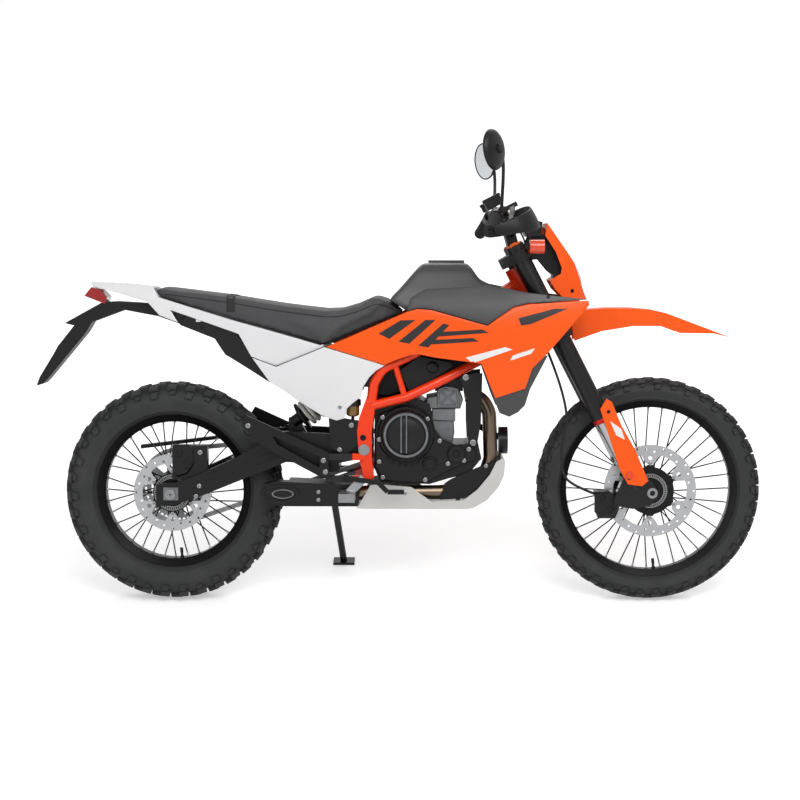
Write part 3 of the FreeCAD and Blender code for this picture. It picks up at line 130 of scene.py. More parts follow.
def banded(tree, where, band):
    # 1 on the side of a plane that heading points to, and 0 on the other
    start = addNode(tree, "ShaderNodeVectorMath", {"operation": "SUBTRACT", 1: tuple(band["origin"])}, {0: where})
    along = addNode(tree, "ShaderNodeVectorMath", {"operation": "DOT_PRODUCT", 1: tuple(band["heading"])},
                    {0: start.outputs["Vector"]}).outputs["Value"]
    edge = {"From Min": -bandEdge, "From Max": bandEdge}
    return addNode(tree, "ShaderNodeMapRange", edge, {"Value": along}).outputs["Result"]


def finish(name, look):
    material = bpy.data.materials.new(name)
    material.use_nodes = True
    tree = material.node_tree
    shader = tree.nodes["Principled BSDF"]
    shader.inputs["Metallic"].default_value = look.get("metallic", 0)
    shader.inputs["Roughness"].default_value = look["roughness"]
    if "ior" in look:
        shader.inputs["IOR"].default_value = look["ior"]
    if "coat" in look:
        shader.inputs["Coat Weight"].default_value = look["coat"]
        shader.inputs["Coat Roughness"].default_value = look.get("coatRoughness", 0.1)
    if "specular" in look:
        shader.inputs["Specular IOR Level"].default_value = look["specular"]
    if "sheen" in look:
        shader.inputs["Sheen Weight"].default_value = look["sheen"]
    where = addNode(tree, "ShaderNodeTexCoord").outputs["Object"]
    stretch = addNode(tree, "ShaderNodeMapping", {"Scale": look.get("stretch", (1, 1, 1))}, {"Vector": where})
    cloud = addNode(tree, "ShaderNodeTexNoise", {"Scale": perMetre(look["patchMm"]), "Detail": 3}, {"Vector": where})
    tint = addNode(tree, "ShaderNodeMix", {"data_type": "RGBA", 6: linear(look["hex"]), 7: linear(look["hexWorn"])},
                   {0: cloud.outputs["Fac"]})
    colour = tint.outputs[2]
    if "hexDust" in look:
        # dust and rubbing gather in larger soft patches
        noise = {"Scale": perMetre(look["patchMm"] * 2.7), "Detail": 5, "Distortion": 0.6}
        smear = addNode(tree, "ShaderNodeTexNoise", noise, {"Vector": where})
        edge = addNode(tree, "ShaderNodeMapRange", {"From Min": 0.52, "From Max": 0.78, "To Max": look["dust"]},
                       {"Value": smear.outputs["Fac"]})
        colour = addNode(tree, "ShaderNodeMix", {"data_type": "RGBA", 7: linear(look["hexDust"])},
                         {0: edge.outputs["Result"], 6: colour}).outputs[2]
    for band in look.get("bands", []):
        share = banded(tree, where, band)
        over = {"data_type": "RGBA", 7: linear(band["hex"])}
        colour = addNode(tree, "ShaderNodeMix", over, {0: share, 6: colour}).outputs[2]
        if "metallic" in band:
            metal = addNode(tree, "ShaderNodeMapRange", {"To Min": look.get("metallic", 0), "To Max": band["metallic"]},
                            {"Value": share})
            tree.links.new(metal.outputs["Result"], shader.inputs["Metallic"])
    tree.links.new(colour, shader.inputs["Base Color"])
    grain = addNode(tree, "ShaderNodeTexNoise", {"Scale": perMetre(look["grainMm"]), "Detail": 4},
                    {"Vector": stretch.outputs["Vector"]})
    rough = addNode(tree, "ShaderNodeMapRange", {"To Min": look["roughness"] * 0.85, "To Max": look["roughness"] * 1.2},
                    {"Value": grain.outputs["Fac"]})
    tree.links.new(rough.outputs["Result"], shader.inputs["Roughness"])
    bump = addNode(tree, "ShaderNodeBump", {"Strength": look["bump"], "Distance": look["grainMm"] / 2000},
                   {"Height": grain.outputs["Fac"]})
    tree.links.new(bump.outputs["Normal"], shader.inputs["Normal"])
    return material


def surface(slotName, colour, worn, roughness, patchMm, grainMm, bump, **more):
    return {"slot": slotName, "hex": colour, "hexWorn": worn, "roughness": roughness, "patchMm": patchMm,
            "grainMm": grainMm, "bump": bump, **more}


# slot, colour, worn colour, roughness, patch and grain in millimetres, bump. Grains under 1 mm are drawn
# at 1 mm or more, because finer ones don't show at this distance.
finishes = {
    # injection moulded ABS: even colour and a soft gloss
    "orangeAbs": surface("orange_plastic", "#FF5C00", "#FA5600", 0.34, 240, 3, 0.02, coat=0.08, specular=0.35),
    # moulded polypropylene in white: slightly waxy and clean
    "whitePolypropylene": surface("white_plastic", "#E9E9EA", "#DFDFE1", 0.35, 240, 3, 0.02, coat=0.2),
    # the same in grey from a spark eroded mould: dull, with a fine grain
    "greyPolypropylene": surface("grey_plastic", "#3E3E40", "#38383A", 0.44, 90, 1.6, 0.12, coat=0.15,
                                 coatRoughness=0.3),
    # glass filled nylon: near black, grained
    "blackNylon": surface("black_plastic", "#121213", "#0C0C0D", 0.42, 60, 1.5, 0.2, specular=0.3),
    # moulded rubber: matt, soaks up the light
    "gripRubber": surface("soft_rubber", "#1A1A1A", "#111111", 0.8, 30, 2, 0.3),
    # embossed vinyl over foam: soft dark grey
    "seatVinyl": surface("seat_cover", "#454547", "#3A3A3C", 0.62, 60, 1.8, 0.4),
    # cured tyre compound: charcoal, dusty, no shine
    "tyreCompound": surface("tyre_rubber", "#2C2D2E", "#212223", 0.7, 50, 2.5, 0.3, hexDust="#3C3C3B", dust=0.5),
    # baked enamel on steel tube: bright, glossy, and painted black behind the footrests
    "frameEnamel": surface("frame_paint", "#FA3C00", "#EE3800", 0.3, 120, 4, 0.04, coat=0.2, specular=0.4,
                           bands=[{"hex": "#141415", "origin": bike(560, 0, 400), "heading": -forward}]),
    # powder coat: black with a slight orange peel
    "blackPowderCoat": surface("black_paint", "#111112", "#0A0A0B", 0.34, 60, 2, 0.12, specular=0.35),
    # anodised aluminium: metal seen through a black film
    "blackAnodisedAluminium": surface("black_rim", "#202022", "#161617", 0.35, 90, 2, 0.05, metallic=0.7),
    # ground steel: pale, with a satin finish
    "groundDiscSteel": surface("disc_steel", "#C9CACC", "#B4B5B8", 0.36, 20, 1.2, 0.08, metallic=1),
    # zinc plate: cool grey with cloudy patches
    "zincPlatedSteel": surface("plain_steel", "#A9AAAB", "#8E8F91", 0.34, 12, 2, 0.08, metallic=1),
    # sand cast aluminium: rough and dull
    "castAluminium": surface("cast_aluminium", "#85878A", "#6A6C6F", 0.5, 25, 1.6, 0.3, metallic=0.9),
    # machined aluminium: edges that catch the light; on the clutch cover's bars and rim its brightness is partly
    # painted highlight
    "polishedAluminium": surface("cast_aluminium", "#8F9194", "#6E7073", 0.3, 18, 1.4, 0.1, metallic=0.95),
    # unpainted polyamide with fluid behind it: a warm brown
    "smokedPolyamide": surface("amber_lens", "#7A5A22", "#6B4C1A", 0.2, 14, 3, 0.02, coat=0.5),
    # rolled sheet: pale, with a soft broad sheen
    "rolledAluminium": surface("plain_steel", "#D2D1CE", "#C2C1BE", 0.45, 120, 2.2, 0.08, metallic=0.85),
    # ground and plated tube: sharp reflections; its cast foot below is painted black
    "hardChrome": surface("bright_chrome", "#B9BABC", "#AEAFB1", 0.12, 40, 3, 0.01, metallic=1,
                          bands=[{"hex": "#151516", "metallic": 0.1, "origin": steered(0, 0, 92),
                                  "heading": -steeringAxis}]),
    # stainless steel tinted by heat: brownish
    "heatTintedSteel": surface("header_steel", "#8C7A66", "#6E6257", 0.3, 45, 3, 0.04, metallic=1),
    # lacquered spring wire: warm white and glossy
    "whiteSpringPaint": surface("shock_white", "#E6E4DF", "#DAD8D2", 0.3, 30, 3, 0.02, coat=0.4),
    # moulded acrylic lenses: deep colour under a hard gloss
    "redAcrylic": surface("red_lens", "#A3100C", "#8C0C0A", 0.15, 20, 3, 0.02, coat=0.5),
    "amberAcrylic": surface("amber_lens", "#EE4A12", "#E04010", 0.15, 20, 3, 0.02, coat=0.5),
    # printed vinyl film: flat colour with a slight gloss
    "blackVinylFilm": surface("black_plastic", "#1A1A1C", "#141416", 0.38, 60, 2, 0.03, coat=0.2),
    "whiteVinylFilm": surface("white_plastic", "#F1F1F1", "#E8E8E8", 0.38, 60, 2, 0.03, coat=0.2),
    # woven polyester web and thread: matt
    "seatStrapWeb": surface("seat_cover", "#232324", "#1A1A1B", 0.75, 20, 1.2, 0.4),
    # black oxide on steel screws: dark, slightly shiny
    "blackOxideSteel": surface("plain_steel", "#2B2B2D", "#1E1E20", 0.4, 8, 1, 0.05, metallic=0.8),
    # moulded clear polycarbonate over the lamp, very smooth; its opaque pale colour is painted reflection
    "clearPolycarbonate": surface("bright_chrome", "#D9DDE2", "#CFD4DA", 0.12, 40, 3, 0.01, coat=0.8),
    # mirror glass: a clean reflection
    "silveredGlass": surface("bright_chrome", "#E2E6EA", "#DDE2E6", 0.04, 80, 6, 0, metallic=1),
    # dyed anodised rings and caps on the fork
    "redAnodisedAluminium": surface("black_paint", "#C8201A", "#B81812", 0.3, 30, 2, 0.03, metallic=0.6),
    "orangeAnodisedAluminium": surface("black_paint", "#E8641C", "#DA5612", 0.3, 30, 2, 0.03, metallic=0.7),
}
materials = {name: finish(name, look) for name, look in finishes.items()}

nodeFinish = {
    "orangeAbs": ["headlight_mask", "front_fender", "fork_guards", "side_shrouds", "lower_shrouds"],
    "whitePolypropylene": ["side_panels", "tail_panel"],
    "greyPolypropylene": ["fuel_tank", "tank_covers", "fuel_cap"],
    "blackNylon": ["plate_holder", "chain_guard", "headlight", "dash", "mirrors", "heat_shield", "airbox_cover"],
    "gripRubber": ["grips", "front_brake_hose"],
    "seatVinyl": ["seat"],
    "tyreCompound": ["front_tyre", "rear_tyre"],
    "frameEnamel": ["main_frame"],
    "blackPowderCoat": ["subframe", "swingarm", "engine_case", "engine_covers", "engine_hanger", "triple_clamps",
                        "fork_tubes", "rear_brake", "front_caliper", "passenger_brackets", "foot_controls",
                        "side_stand", "muffler", "handlebar", "levers", "horn"],
    "blackAnodisedAluminium": ["front_rim", "rear_rim", "front_hub", "rear_hub"],
    "groundDiscSteel": ["front_disc", "rear_disc"],
    "zincPlatedSteel": ["rear_sprocket", "chain", "front_axle", "rear_axle", "swingarm_bolt", "footpegs"],
    "castAluminium": ["cylinder_head", "radiators"],
    "rolledAluminium": ["skid_plate"],
    "hardChrome": ["fork_legs"],
    "heatTintedSteel": ["exhaust_header"],
    "whiteSpringPaint": ["rear_shock"],
    "redAcrylic": ["tail_light"],
    "amberAcrylic": ["indicators"],
}
for finishName, names in nodeFinish.items():
    for name in names:
        for slot in frame["nodes"][name].material_slots:
            slot.material = materials[finishName]
print("nodes finished")


# Mesh helpers. A shape is a list of points in metres with faces of point numbers.

def addPiece(name, points, faces, look, body, crease=35):
    mesh = bpy.data.meshes.new(name)
    mesh.from_pydata([tuple(p) for p in points], [], faces)
    mesh.validate()
    for polygon in mesh.polygons:
        polygon.use_smooth = True
    mesh.set_sharp_from_angle(angle=radians(crease))
    piece = bpy.data.objects.new(name, mesh)
    bpy.context.collection.objects.link(piece)
    mesh.materials.append(materials[look])
    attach(piece, body)
    return piece


def baked(piece):
    # its modifiers become its mesh
    mesh = bpy.data.meshes.new_from_object(piece.evaluated_get(bpy.context.evaluated_depsgraph_get()))
    piece.modifiers.clear()
    piece.data = mesh
    for polygon in mesh.polygons:
        polygon.use_smooth = True
    return mesh


def remeshed(name, node, voxel, rounds):
    # a copy of a node, rounded by voxels of so many millimetres and a few rounds of smoothing
    piece = bpy.data.objects.new(name, frame["nodes"][node].data.copy())
    bpy.context.collection.objects.link(piece)
    remesh = piece.modifiers.new("remesh", "REMESH")
    remesh.mode = "VOXEL"
    remesh.voxel_size = voxel / 1000
    smooth = piece.modifiers.new("smooth", "SMOOTH")
    smooth.factor = 0.5
    smooth.iterations = rounds
    return piece


def merged(shapes):
    points, faces = [], []
    for shapePoints, shapeFaces in shapes:
        start = len(points)
        points += shapePoints
        faces += [[start + i for i in face] for face in shapeFaces]
    return points, faces


def closedRings(rings):
    # Faces between rings of the same length, with both ends filled
    count = len(rings[0])
    points = [p for ring in rings for p in ring]
    faces = [list(range(count))[::-1], [len(points) - count + i for i in range(count)]]
    for r in range(len(rings) - 1):
        for i in range(count):
            j = (i + 1) % count
            faces.append([r * count + i, r * count + j, (r + 1) * count + j, (r + 1) * count + i])
    return points, faces


def across(heading):
    guide = upward if abs(heading.dot(upward)) < 0.9 else forward
    side = guide.cross(heading).normalized()
    return side, heading.cross(side)


def turnedShape(spot, heading, profile, steps=32):
    # Turned solid: profile is (radius, height) in millimetres from spot along heading
    heading = heading.normalized()
    side, other = across(heading)
    rings = []
    for radius, height in profile:
        ring = []
        for i in range(steps):
            angle = 2 * pi * i / steps
            ring.append(spot + (heading * height + (side * cos(angle) + other * sin(angle)) * max(radius, 0.01)) / 1000)
        rings.append(ring)
    return closedRings(rings)


def bandFaces(steps, count):
    # faces round a closed band of so many rows, each of count points
    faces = []
    for i in range(steps):
        for k in range(count):
            a, b = i * count + k, i * count + (k + 1) % count
            faces.append([a, b, ((i + 1) % steps) * count + (k + 1) % count, ((i + 1) % steps) * count + k])
    return faces


def turnedBand(spot, heading, profile, steps):
    # closed ring: the profile's last point joins its first
    side, other = across(heading.normalized())
    points = []
    for i in range(steps):
        angle = 2 * pi * i / steps
        points += [spot + (heading * height + (side * cos(angle) + other * sin(angle)) * radius) / 1000
                   for radius, height in profile]
    return points, bandFaces(steps, len(profile))


def boltShape(spot, heading, size):
    # Flanged hexagon head with a shallow socket
    heading = heading.normalized()
    side, other = across(heading)
    flange, hexHalf = size * 1.45, size
    rows = [(flange, -0.6, 0), (flange, 0.7, 0), (hexHalf * 1.18, 1.4, 0.4), (hexHalf, 1.4, 1),
            (hexHalf, size * 0.85, 1), (hexHalf * 0.9, size * 0.98, 0.9), (hexHalf * 0.5, size * 0.98, 0),
            (hexHalf * 0.46, size * 0.45, 0)]
    rings = []
    for radius, height, corner in rows:
        ring = []
        for i in range(18):
            angle = 2 * pi * i / 18
            sixth = abs((angle % (pi / 3)) - pi / 6)
            reach = radius * (1 + corner * (cos(pi / 6) / cos(pi / 6 - sixth) - 0.95))
            ring.append(spot + (heading * height + (side * cos(angle) + other * sin(angle)) * reach) / 1000)
        rings.append(ring)
    return closedRings(rings)


def addTube(name, points, radius, look, body):
    data = bpy.data.curves.new(name, "CURVE")
    data.dimensions = "3D"
    data.bevel_depth = radius / 1000
    data.bevel_resolution = 4
    data.resolution_u = 12
    data.use_fill_caps = True
    spline = data.splines.new("NURBS")
    spline.points.add(len(points) - 1)
    for point, place in zip(spline.points, points):
        point.co = (*place, 1)
    spline.order_u = 3
    spline.use_endpoint_u = True
    data.materials.append(materials[look])
    piece = bpy.data.objects.new(name, data)
    bpy.context.collection.objects.link(piece)
    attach(piece, body)
    return piece


def plateShape(loops, thickness, edge=0.4):
    # Flat plate in the x, y plane of millimetres, with holes, filled by a two dimensional curve
    data = bpy.data.curves.new("plate", "CURVE")
    data.dimensions = "2D"
    data.fill_mode = "BOTH"
    data.extrude = thickness / 2 - edge
    data.bevel_depth = edge
    data.bevel_resolution = 0
    data.offset = -edge
    for loop in loops:
        spline = data.splines.new("POLY")
        spline.points.add(len(loop) - 1)
        for point, (x, y) in zip(spline.points, loop):
            point.co = (x, y, 0, 1)
        spline.use_cyclic_u = True
    plate = bpy.data.objects.new("plate", data)
    bpy.context.collection.objects.link(plate)
    bpy.context.view_layer.update()
    mesh = bpy.data.meshes.new_from_object(plate.evaluated_get(bpy.context.evaluated_depsgraph_get()))
    shape = bmesh.new()
    shape.from_mesh(mesh)
    bmesh.ops.remove_doubles(shape, verts=shape.verts, dist=0.01)
    points = [v.co.copy() for v in shape.verts]
    faces = [[v.index for v in f.verts] for f in shape.faces]
    shape.free()
    bpy.data.objects.remove(plate)
    bpy.data.meshes.remove(mesh)
    return points, faces


def sidePlate(loops, thickness, y, centre, edge=0.4):
    # A plate standing along the machine at y, its loops in (x, z) millimetres about centre
    points, faces = plateShape(loops, thickness, edge)
    return [bike(centre[0] + p.x, y + p.z, centre[1] + p.y) for p in points], faces


def circleLoop(x, z, radius, steps):
    return [(x + radius * cos(2 * pi * i / steps), z + radius * sin(2 * pi * i / steps)) for i in range(steps)]


# where a ray starts for a place in the view's own two directions, and where it heads
views = {
    "right": (lambda a, b: bike(a, -700, b), leftward),
    "left": (lambda a, b: bike(a, 700, b), -leftward),
}


def caughtOn(target, start, heading):
    # Where a ray from start meets a piece, in the frame
    inverse = target.matrix_world.inverted()
    found, spot, normal, face = target.ray_cast(inverse @ start, (inverse.to_3x3() @ heading).normalized())
    return (target.matrix_world @ spot, (target.matrix_world.to_3x3() @ normal).normalized()) if found else (None, None)


# Tyres

tyreLook = {
    "rear": {"node": "rear_tyre", "body": "rear_wheel", "x": 0, "radius": tyreRadius["rear"], "half": 66, "bead": 237.3,
             "beadHalf": 36, "pitches": 35, "groove": 14},
    "front": {"node": "front_tyre", "body": "front_wheel", "x": wheelbase, "radius": tyreRadius["front"], "half": 45,
              "bead": 273.3, "beadHalf": 28, "pitches": 42, "groove": 12},
}
tyreSteps = 168
# knob rows: from and to as shares of the half section, turn and width in pitches, how far they stay
# below the full height in millimetres, and their skew
knobRows = ((0.895, 0.985, 0, 0.52, 0.6, 0.01), (0.775, 0.875, 0.08, 0.46, 1.0, -0.016),
            (0.625, 0.755, 0.5, 0.50, 0.5, 0.012))
# edge knobs, long and short in turn: from, to, turn, width
edgeRows = ((0.47, 0.605, 0.5, 0.40), (0.53, 0.605, 0.46, 0.32))
edgeHeight, edgeSkew = 0.55, 0.010


def casingLine(t):
    # Half section of the casing from the bead to the middle of the tread, (radius, half width) in millimetres
    floor = t["radius"] - t["groove"]
    height, half = floor - t["bead"], t["half"]
    shares = ((0, t["beadHalf"] / half), (0.05, 0.70), (0.13, 0.84), (0.16, 0.86), (0.20, 0.885), (0.30, 0.945),
              (0.44, 0.985), (0.56, 0.99), (0.66, 0.965), (0.76, 0.90), (0.86, 0.77), (0.93, 0.60), (0.975, 0.38),
              (0.995, 0.18), (1.0, 0.0))
    return [(t["bead"] + height * r, half * y * 0.95) for r, y in shares]


def onLine(line, share):
    # Point and outward normal at a share of the half section's length
    lengths = [0]
    for a, b in zip(line, line[1:]):
        lengths.append(lengths[-1] + sqrt((b[0] - a[0]) ** 2 + (b[1] - a[1]) ** 2))
    reach = share * lengths[-1]
    for i in range(len(line) - 1):
        if reach <= lengths[i + 1] or i == len(line) - 2:
            part = (reach - lengths[i]) / (lengths[i + 1] - lengths[i])
            (r0, y0), (r1, y1) = line[i], line[i + 1]
            run = sqrt((r1 - r0) ** 2 + (y1 - y0) ** 2)
            return (r0 + (r1 - r0) * part, y0 + (y1 - y0) * part), ((y0 - y1) / run, (r1 - r0) / run)


def tyreSpot(t, radius, y, angle):
    return bike(t["x"] + radius * sin(angle), y, t["radius"] - radius * cos(angle))


def knobShape(t, line, side, near, far, angle, width, height, skew):
    # One tread block between two shares of the half section, width in millimetres along the tread
    steps = 3
    rings = []
    for lift, grow in ((-1.5, 1.10), (height - 1.6, 0.98), (height, 0.88)):
        left, right = [], []
        middle = (near + far) / 2
        for i in range(steps + 1):
            share = middle + (near + (far - near) * i / steps - middle) * grow
            (radius, y), (out, wide) = onLine(line, share)
            halfTurn = width * grow / 2 / t["radius"]
            lean = skew * (i / steps - 0.5)
            for store, turn in ((left, lean - halfTurn), (right, lean + halfTurn)):
                store.append(tyreSpot(t, radius + out * lift, side * (y + wide * lift), angle + turn))
        rings.append(left + right[::-1])
    points = [p for ring in rings for p in ring]
    count = 2 * (steps + 1)
    faces = []
    for r in range(2):
        for i in range(count):
            j = (i + 1) % count
            faces.append([r * count + i, r * count + j, (r + 1) * count + j, (r + 1) * count + i])
    for start in (0, 2 * count):
        for i in range(steps):
            quad = [start + i, start + i + 1, start + count - 2 - i, start + count - 1 - i]
            faces.append(quad if start else quad[::-1])
    if side < 0:
        faces = [face[::-1] for face in faces]
    return points, faces


def addTyre(which):
    t = tyreLook[which]
    line = casingLine(t)
    # two fine ridges run round each side wall
    ridge = [(r, y + (1.6 if i in (3, 7) else 0)) for i, (r, y) in enumerate(line)]
    half = [(t["bead"] - 1, t["beadHalf"] * 0.7)] + ridge
    section = half + [(r, -y) for r, y in reversed(half[:-1])]
    points = [tyreSpot(t, r, y, 2 * pi * i / tyreSteps) for i in range(tyreSteps) for r, y in section]
    shapes = [(points, bandFaces(tyreSteps, len(section)))]
    turn = 2 * pi / t["pitches"]
    pitch = turn * t["radius"]
    for i in range(t["pitches"]):
        for side in (-1, 1):
            for near, far, share, width, less, skew in knobRows:
                knob = (turn * (i + share), pitch * width, t["groove"] - less, skew * side)
                shapes.append(knobShape(t, line, side, near, far, *knob))
            near, far, share, width = edgeRows[i % 2]
            knob = (turn * (i + share), pitch * width, t["groove"] * edgeHeight, edgeSkew * side)
            shapes.append(knobShape(t, line, side, near, far, *knob))
    piece = addPiece(t["node"].replace("_t", "T") + "Tread", *merged(shapes), "tyreCompound", t["body"])
    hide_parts(t["node"])
    print(t["node"], "covered")


for which in tyreLook:
    addTyre(which)


# Brake discs: a drilled ring with lobes to the carrier, the black carrier and a slotted sensor ring

discLook = {
    "front": {"node": "front_disc", "body": "front_wheel", "x": wheelbase, "z": tyreRadius["front"], "y": -66,
              "outer": 142.2, "inner": 114, "foot": 84, "holes": 30, "carrier": 74, "bore": 25, "ring": (41, 53)},
    "rear": {"node": "rear_disc", "body": "rear_wheel", "x": 0, "z": tyreRadius["rear"], "y": -71, "outer": 119.7,
             "inner": 92, "foot": 66, "holes": 24, "carrier": 60, "bore": 33, "ring": (43, 56)},
    "lobes": 6, "drill": 3.6, "window": 6.5, "windowOut": 17, "thick": 4.4, "carrierThick": 7, "ringThick": 1.6,
    "slots": 48, "slotHalf": 0.24,
    "rivet": ((0, -0.5), (6, -0.5), (6, 0.8), (4.8, 1.4), (3, 1.4), (2.6, 0.8), (0, 0.8)),
}


def lobeAngles():
    return [2 * pi * (k + 0.5) / discLook["lobes"] for k in range(discLook["lobes"])]


def polar(radius, angle):
    return radius * cos(angle), radius * sin(angle)


def lobedLoop(d):
    # inner edge of the ring, which reaches in to a foot at each rivet
    inner, foot = d["inner"], d["foot"]
    half = 0.20 * 2 * pi / discLook["lobes"]
    loop = []
    for middle in lobeAngles():
        for share, radius in ((-2.30, inner), (-1.7, inner), (-1.15, inner - 2), (-0.85, foot + 8), (-0.62, foot + 1),
                              (0, foot - 3), (0.62, foot + 1), (0.85, foot + 8), (1.15, inner - 2), (1.7, inner)):
            angle = middle + share * half
            loop.append(polar(radius, angle))
    return loop


def addDisc(which):
    d, common = discLook[which], discLook
    centre = (d["x"], d["z"])
    loops = [circleLoop(0, 0, d["outer"], 120), lobedLoop(d)[::-1]]
    middle, third = (d["outer"] + d["inner"]) / 2, (d["outer"] - d["inner"]) / 4.2
    for i in range(d["holes"]):
        angle = 2 * pi * i / d["holes"]
        radius = middle + (third if i % 3 == 0 else -third if i % 3 == 1 else 0)
        loops.append(circleLoop(*polar(radius, angle), common["drill"], 12)[::-1])
    for angle in lobeAngles():
        loops.append(circleLoop(*polar(d["foot"] + common["windowOut"], angle), common["window"], 16)[::-1])
    piece = addPiece(which + "DiscPlate", *sidePlate(loops, common["thick"], d["y"], centre), "groundDiscSteel",
                     d["body"])
    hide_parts(d["node"])
    rim = [polar(d["carrier"] + (6 if i % 10 in (4, 5, 6) else 0), 2 * pi * i / 60) for i in range(60)]
    carrier = sidePlate([rim, circleLoop(0, 0, d["bore"], 40)[::-1]], common["carrierThick"], d["y"] + 1.5, centre)
    addPiece(which + "DiscCarrier", *carrier, "blackAnodisedAluminium", d["body"])
    near, far = d["ring"]
    loops = [circleLoop(0, 0, far, 72), circleLoop(0, 0, near, 48)[::-1]]
    for i in range(common["slots"]):
        a, b = (2 * pi * (i + turn) / common["slots"] for turn in (-common["slotHalf"], common["slotHalf"]))
        loops.append([polar(near + 3, a), polar(far - 2.5, a), polar(far - 2.5, b), polar(near + 3, b)][::-1])
    addPiece(which + "SensorRing", *sidePlate(loops, common["ringThick"], d["y"] - 4, centre), "zincPlatedSteel",
             d["body"])
    rivets = []
    for angle in lobeAngles():
        x, z = polar(d["foot"], angle)
        rivets.append(turnedShape(bike(d["x"] + x, d["y"] - 2.1, d["z"] + z), -leftward, common["rivet"], 20))
    addPiece(which + "DiscBolts", *merged(rivets), "zincPlatedSteel", d["body"])


for which in ("front", "rear"):
    addDisc(which)
print("discs drilled")


# Body panels: each is cut to its side outline from a smooth body surface, and has a softened rim.
# Outlines are shares of the wheelbase and of the seat height, surfaces are half widths in millimetres.

bodySurfaces = {
    "front": {"along": (0.30, 0.45, 0.55, 0.66, 0.76, 0.88),
              "rows": ((0.62, (118, 128, 138, 148, 152, 140)), (0.80, (130, 141, 154, 168, 170, 150)),
                       (0.94, (134, 148, 164, 180, 182, 160)), (1.03, (122, 143, 158, 172, 176, 158)),
                       (1.12, (70, 104, 122, 142, 152, 140)))},
    "side": {"along": (0.15, 0.25, 0.35, 0.47),
             "rows": ((0.60, (100, 118, 130, 130)), (0.75, (112, 130, 140, 140)), (0.92, (106, 122, 134, 138)))},
    "tail": {"along": (-0.18, -0.10, 0.00, 0.13, 0.24, 0.34),
             "rows": ((0.80, (34, 56, 82, 104, 114, 122)), (0.96, (38, 60, 86, 106, 118, 124)),
                      (1.06, (36, 58, 82, 100, 112, 118)), (1.14, (26, 44, 64, 84, 96, 104)))},
}

panelLook = {
    "tankCover": {"node": "tank_covers", "surface": "front", "inset": 0, "look": "greyPolypropylene",
                  "outline": ((0.492, 1.016), (0.512, 1.026), (0.541, 1.023), (0.657, 0.970), (0.662, 0.978),
                              (0.709, 1.031), (0.738, 1.043), (0.862, 1.055), (0.736, 1.079), (0.666, 1.103),
                              (0.530, 1.090), (0.500, 1.06))},
    "sideShroud": {"node": "side_shrouds", "surface": "front", "inset": 0, "look": "orangeAbs",
                   "outline": ((0.326, 0.893), (0.492, 1.013), (0.512, 1.023), (0.541, 1.020), (0.657, 0.967),
                               (0.662, 0.975), (0.709, 1.028), (0.738, 1.040), (0.862, 1.052), (0.864, 1.037),
                               (0.779, 0.874), (0.748, 0.823), (0.734, 0.754), (0.673, 0.720), (0.644, 0.839),
                               (0.590, 0.850), (0.548, 0.859), (0.517, 0.869), (0.500, 0.867), (0.470, 0.850),
                               (0.446, 0.832))},
    "lowerShroud": {"node": "lower_shrouds", "surface": "front", "inset": 6, "look": "greyPolypropylene",
                    "outline": ((0.645, 0.838), (0.671, 0.713), (0.682, 0.669), (0.702, 0.656), (0.720, 0.672),
                                (0.734, 0.696), (0.744, 0.751), (0.780, 0.867))},
    "sidePanel": {"node": "side_panels", "surface": "side", "inset": 0, "look": "whitePolypropylene",
                  "outline": ((0.172, 0.854), (0.222, 0.824), (0.322, 0.892), (0.446, 0.830), (0.428, 0.812),
                              (0.414, 0.789), (0.402, 0.757), (0.397, 0.723), (0.379, 0.699), (0.368, 0.682),
                              (0.367, 0.667), (0.362, 0.648), (0.347, 0.641), (0.325, 0.652), (0.307, 0.667),
                              (0.262, 0.715), (0.240, 0.741), (0.208, 0.773))},
    "tailPanel": {"node": "tail_panel", "surface": "tail", "inset": 0, "look": "whitePolypropylene",
                  "outline": ((-0.169, 1.110), (-0.099, 1.106), (-0.035, 1.094), (-0.024, 1.060), (0.128, 0.984),
                              (0.259, 0.924), (0.321, 0.894), (0.221, 0.826), (0.170, 0.858), (0.144, 0.935),
                              (0.135, 0.941), (0.001, 1.017), (0.017, 0.974), (-0.022, 0.998), (-0.048, 1.044),
                              (-0.139, 1.086), (-0.165, 1.096))},
}
panelWall = 4
panelCell = 16
rimWidth = 1.1
rimAngle = 50
bossHalf = 7
panelBosses = {"tankCover": ((885, 917, 120), (959, 908, 120)), "sideShroud": ((841, 837, 120), (1012, 846, 140)),
               "lowerShroud": ((1018, 725, 140),), "sidePanel": ((354, 699, 100), (568, 687, 104)),
               "tailPanel": ((88, 876, 70),)}
panels = {}


def fromShares(table):
    return [(wheelbase * a, seatHeight * b) for a, b in table]


def smoothAt(knots, values, place):
    # cubic curve through values, flat beyond its ends
    if place <= knots[0]:
        return values[0]
    if place >= knots[-1]:
        return values[-1]
    i = max(k for k in range(len(knots) - 1) if knots[k] <= place)
    span = knots[i + 1] - knots[i]
    part = (place - knots[i]) / span

    def slope(k):
        low, high = max(k - 1, 0), min(k + 1, len(knots) - 1)
        return (values[high] - values[low]) / (knots[high] - knots[low])

    return ((2 * part ** 3 - 3 * part ** 2 + 1) * values[i] + (part ** 3 - 2 * part ** 2 + part) * span * slope(i)
            + (3 * part ** 2 - 2 * part ** 3) * values[i + 1] + (part ** 3 - part ** 2) * span * slope(i + 1))


def halfWidth(surface, x, z):
    s = bodySurfaces[surface]
    heights = [row[0] for row in s["rows"]]
    widths = [smoothAt(s["along"], row[1], x / wheelbase) for row in s["rows"]]
    return smoothAt(heights, widths, z / seatHeight)


